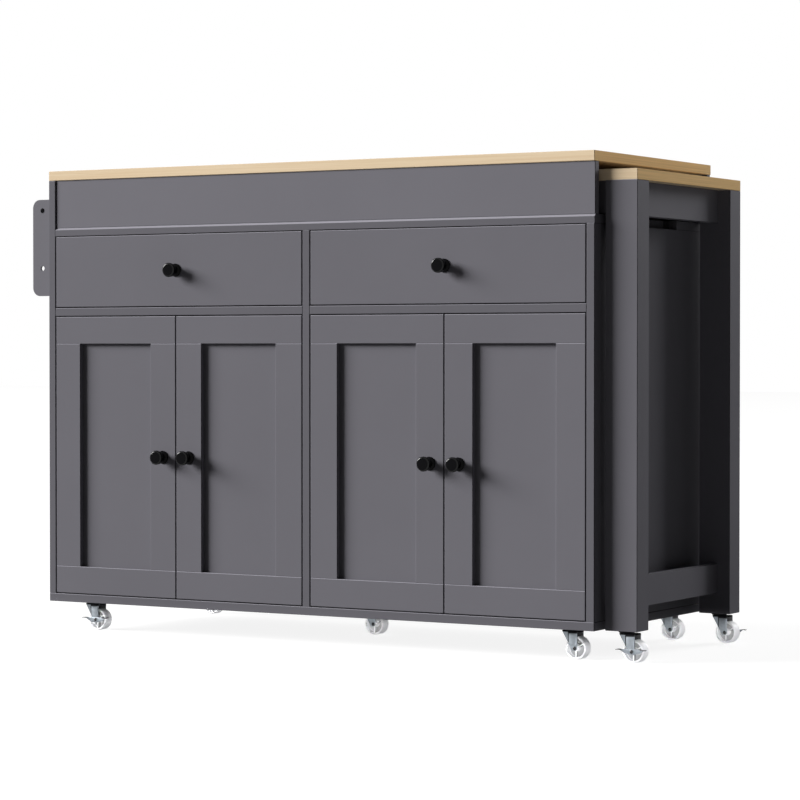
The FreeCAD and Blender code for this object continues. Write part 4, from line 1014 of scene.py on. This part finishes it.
class ISLAND_OT_caster_wheels(bpy.types.Operator):
    """Mould one wheel with hub, web, rim and ribs, and copy it to each caster"""
    bl_idname = "island.caster_wheels"
    bl_label = "Caster wheels"

    def execute(self, context):
        side = [
            (HUB_BORE, HUB_HALF), (HUB_RADIUS, HUB_HALF), (HUB_FOOT, WEB_HALF),
            (RIM_INNER - RIM_DRAFT, WEB_HALF), (RIM_INNER, WHEEL_HALF),
            (WHEEL_RADIUS - TREAD_EASE[0], WHEEL_HALF), (WHEEL_RADIUS, WHEEL_HALF - TREAD_EASE[1])]
        outline = side + [(x, -z) for x, z in reversed(side)]
        rim = turned("wheel_pattern", rounded(outline, WHEEL_ROUNDING), steps=72, closed=False)
        ribs = []
        for number in range(3):
            rib = slab("rib_%d" % number, (-RIB_HALF, -RIB_HALF_WIDTH, RIB_REACH[0]),
                       (RIB_HALF, RIB_HALF_WIDTH, RIB_REACH[1]))
            bevel(rib, RIB_ROUNDING)
            ribs.append(put(rib, turn=(0, 120 * number, 0)))
        put(rim, turn=(90, 0, 0))
        pattern = join("wheel_pattern", [rim] + ribs)
        for name in CASTERS:
            axle = joint_place("wheel_spin_" + name)
            wheel = copy_of(pattern, "moulded_wheel_" + name, axle)
            dress(wheel, milky_plastic(), "wheel_" + name, "wheel_plastic", "caster_wheel_" + name)
            # The webs are painted darker than the rims: painted shade in the recess
            trim(wheel, milky_plastic("webs", colours().web_shade_share),
                 lambda face: on_web(face.center - axle))
        bpy.data.objects.remove(pattern)
        return {"FINISHED"}


# A pedal's plate: half its length and height, how far its ends rise, how much they narrow
PEDAL_HALF = 24 * MM
PEDAL_HEIGHT = 5.2 * MM
PEDAL_RISE = 3.5 * MM
PEDAL_NARROWING = 0.4
PEDAL_SHEET = 1.6 * MM
PEDAL_EDGE = 0.3 * MM
# Its wings: from which to which distance from the axle, their width, their sheet and their arch
WING_FROM = 19 * MM
WING_TO = 30 * MM
WING_WIDTH = 8 * MM
WING_SHEET = 1.2 * MM
WING_ARCH = 0.6 * MM
# Distance from the axle past which a pedal is black
WING_BLACK = 19.5 * MM


def pedal_plate():
    """A lens-shaped plate whose ends narrow and rise."""
    deselect()
    bpy.ops.mesh.primitive_circle_add(vertices=48, radius=PEDAL_HEIGHT, fill_type="NGON")
    plate = bpy.context.object
    plate.scale = (PEDAL_HALF / PEDAL_HEIGHT, 1, 1)
    settle()
    for vertex in plate.data.vertices:
        share = min(1.0, abs(vertex.co.x) / PEDAL_HALF)
        narrow = 1 - PEDAL_NARROWING * share * share
        vertex.co.y = vertex.co.y * narrow + PEDAL_RISE * share ** 3
    thicken(plate, PEDAL_SHEET, 0)
    bevel(plate, PEDAL_EDGE)
    return plate


def pedal_wing(end, way):
    """The arched tread at one end of a pedal, standing out to the fork's outer side."""
    ends = sorted((end * WING_FROM, end * WING_TO))
    wing = slab("wing", (ends[0], 0, -WING_SHEET / 2), (ends[1], WING_WIDTH, WING_SHEET / 2))
    edit(wing)
    bpy.ops.mesh.select_all(action="SELECT")
    bpy.ops.mesh.subdivide(number_cuts=3)
    object_mode()
    for vertex in wing.data.vertices:
        share = (abs(vertex.co.x) - WING_FROM) / (WING_TO - WING_FROM)
        vertex.co.z += PEDAL_RISE + WING_ARCH * sin(pi * share)
        vertex.co.y *= way
    edit(wing)
    bpy.ops.mesh.select_all(action="SELECT")
    bpy.ops.mesh.normals_make_consistent(inside=False)
    object_mode()
    bevel(wing, PEDAL_EDGE)
    return wing


class ISLAND_OT_brake_pedals(bpy.types.Operator):
    """Press the two-ended brake pedals: a lens-shaped plate with a wing at each end"""
    bl_idname = "island.brake_pedals"
    bl_label = "Brake pedals"

    def execute(self, context):
        for name, way in BRAKES.items():
            low, high = map(Vector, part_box("caster_brake_" + name))
            axle = joint_place("wheel_spin_" + name)
            inner = high.y if way < 0 else low.y
            plate = pedal_plate()
            put(plate, (axle.x, inner + way * PEDAL_SHEET / 2, axle.z), (90, 0, 0))
            wings = [put(pedal_wing(end, way), (axle.x, inner, axle.z)) for end in (-1, 1)]
            pedal = join("pressed_pedal_" + name, [plate] + wings)
            dress(pedal, zinc_steel(), "brake_" + name, "zinc_steel", "caster_brake_" + name)
            trim(pedal, black_steel(), lambda face: abs(face.center.x - axle.x) > WING_BLACK)
        return {"FINISHED"}


class ISLAND_OT_fittings(bpy.types.Operator):
    """Finish the hinges, the drawer runners, the shelf pins and the table's glides"""
    bl_idname = "island.fittings"
    bl_label = "Fittings"

    def execute(self, context):
        names = ["hinge_arms", "cabinet_runners"]
        names += ["hinge_cups_%d" % number for number in DOORS]
        names += ["drawer_runners_" + side for side in SIDES]
        paint_nodes(names, zinc_steel())
        paint_nodes(["shelf_pins", "table_glides"], black_plastic())
        return {"FINISHED"}


# The stage. The camera was fitted to the photograph's edges: its focal length in pixels, its place,
# and its angles in degrees
PHOTO_PIXELS = 800
FOCAL_PIXELS = 2841.715
SENSOR_WIDTH = 36
CAMERA_PLACE = (2.9067, -4.8181, 0.5672)
CAMERA_PITCH = 1.0286
CAMERA_YAW = 30.6898
CAMERA_CLIP = (0.05, 100)
FLOOR_SIZE = 60
FLOOR_WHITE = 0.25
FLOOR_ROUGHNESS = 0.9
# What the floor shows of its own to camera, mirror and glass rays
FLOOR_LIFT = 0.88
# The even light of the air on the object
AIR_LEVEL = 0.012
# Lamps: name, place, what it looks at, size, watts, colour, beam in degrees
LAMPS = (
    ("key", (-47.7, -26.4, 20.3), (0, 0, 0.5), (34.0, 18.0), 65500, (1.0, 0.99, 0.98), 180),
    ("low_strip", (1.9, -3.4, 0.017), (0.1, 0, 0.015), (2.4, 0.03), 0.42, (1.0, 1.0, 1.0), 1.3),
    ("rim", (2.9, 6.9, 3.4), (0, 0, 0.5), (3.0, 3.0), 465, (1.0, 1.0, 1.0), 180),
)


def seen_directly(tree):
    """1 for camera, mirror and glass rays, else 0."""
    rays = tree.nodes.new("ShaderNodeLightPath")
    seen = rays.outputs["Is Camera Ray"]
    for kind in ("Is Glossy Ray", "Is Transmission Ray"):
        either = tree.nodes.new("ShaderNodeMath")
        either.operation = "MAXIMUM"
        tree.links.new(seen, either.inputs[0])
        tree.links.new(rays.outputs[kind], either.inputs[1])
        seen = either.outputs[0]
    return seen


def floor_paper():
    """White paper that keeps the object's shadow and runs into the white behind it."""
    material = bpy.data.materials.new("floor_paper")
    material.use_nodes = True
    tree = material.node_tree
    shader = tree.nodes["Principled BSDF"]
    shader.inputs["Base Color"].default_value = (FLOOR_WHITE, FLOOR_WHITE, FLOOR_WHITE, 1)
    shader.inputs["Roughness"].default_value = FLOOR_ROUGHNESS
    shader.inputs["Specular IOR Level"].default_value = 0
    shader.inputs["Emission Color"].default_value = (1, 1, 1, 1)
    lift = tree.nodes.new("ShaderNodeMath")
    lift.operation = "MULTIPLY"
    lift.inputs[1].default_value = FLOOR_LIFT
    tree.links.new(seen_directly(tree), lift.inputs[0])
    tree.links.new(lift.outputs[0], shader.inputs["Emission Strength"])
    return material


def studio_air():
    """A dim even light for the object, and plain white where the camera sees past it."""
    world = bpy.data.worlds.new("studio_air")
    world.use_nodes = True
    tree = world.node_tree
    background = tree.nodes["Background"]
    background.inputs["Color"].default_value = (1, 1, 1, 1)
    mix = tree.nodes.new("ShaderNodeMix")
    mix.inputs[2].default_value = AIR_LEVEL
    mix.inputs[3].default_value = 1.0
    tree.links.new(seen_directly(tree), mix.inputs[0])
    tree.links.new(mix.outputs[0], background.inputs["Strength"])
    return world


class ISLAND_OT_stage(bpy.types.Operator):
    """Set up the pale floor, the studio light and the camera"""
    bl_idname = "island.stage"
    bl_label = "Stage"

    def execute(self, context):
        scene = context.scene
        scene.view_settings.view_transform = "Standard"
        deselect()
        bpy.ops.mesh.primitive_plane_add(size=FLOOR_SIZE, location=(0, 0, 0))
        floor = bpy.context.object
        floor.name = "floor"
        floor.data.materials.append(floor_paper())
        camera = bpy.data.objects.new("camera", bpy.data.cameras.new("camera"))
        scene.collection.objects.link(camera)
        camera.location = CAMERA_PLACE
        camera.rotation_euler = (radians(90 - CAMERA_PITCH), 0, radians(CAMERA_YAW))
        camera.data.sensor_width = SENSOR_WIDTH
        camera.data.lens = FOCAL_PIXELS / PHOTO_PIXELS * SENSOR_WIDTH
        camera.data.clip_start, camera.data.clip_end = CAMERA_CLIP
        scene.camera = camera
        for name, place, aim, size, power, tint, beam in LAMPS:
            light = bpy.data.lights.new(name, "AREA")
            light.shape = "RECTANGLE"
            light.size, light.size_y = size
            light.energy = power
            light.color = tint
            light.spread = radians(beam)
            lamp = bpy.data.objects.new(name, light)
            lamp.location = place
            lamp.rotation_euler = (Vector(aim) - Vector(place)).to_track_quat("-Z", "Y").to_euler()
            scene.collection.objects.link(lamp)
        scene.world = studio_air()
        return {"FINISHED"}


class ISLAND_PT_panel(bpy.types.Panel):
    """The island's tools in the sidebar"""
    bl_idname = "ISLAND_PT_panel"
    bl_label = "Kitchen island"
    bl_space_type = "VIEW_3D"
    bl_region_type = "UI"
    bl_category = "Island"

    def draw(self, context):
        for group in (context.scene.island_colours, context.scene.island_sizes):
            for name in group.__annotations__:
                self.layout.prop(group, name)
        for tool in TOOLS:
            self.layout.operator(tool.bl_idname)


TOOLS = (
    ISLAND_OT_boards, ISLAND_OT_tops, ISLAND_OT_knobs, ISLAND_OT_towel_rack, ISLAND_OT_fittings,
    ISLAND_OT_caster_mounts, ISLAND_OT_caster_forks, ISLAND_OT_caster_wheels,
    ISLAND_OT_brake_pedals, ISLAND_OT_stage)
CLASSES = (IslandColours, IslandSizes) + TOOLS + (ISLAND_PT_panel,)


def register():
    for item in CLASSES:
        bpy.utils.register_class(item)
    bpy.types.Scene.island_colours = bpy.props.PointerProperty(type=IslandColours)
    bpy.types.Scene.island_sizes = bpy.props.PointerProperty(type=IslandSizes)


def unregister():
    del bpy.types.Scene.island_sizes
    del bpy.types.Scene.island_colours
    for item in reversed(CLASSES):
        bpy.utils.unregister_class(item)


def main():
    register()
    for tool in TOOLS:
        group, name = tool.bl_idname.split(".")
        getattr(getattr(bpy.ops, group), name)()
    deselect()


if __name__ == "__main__":
    main()
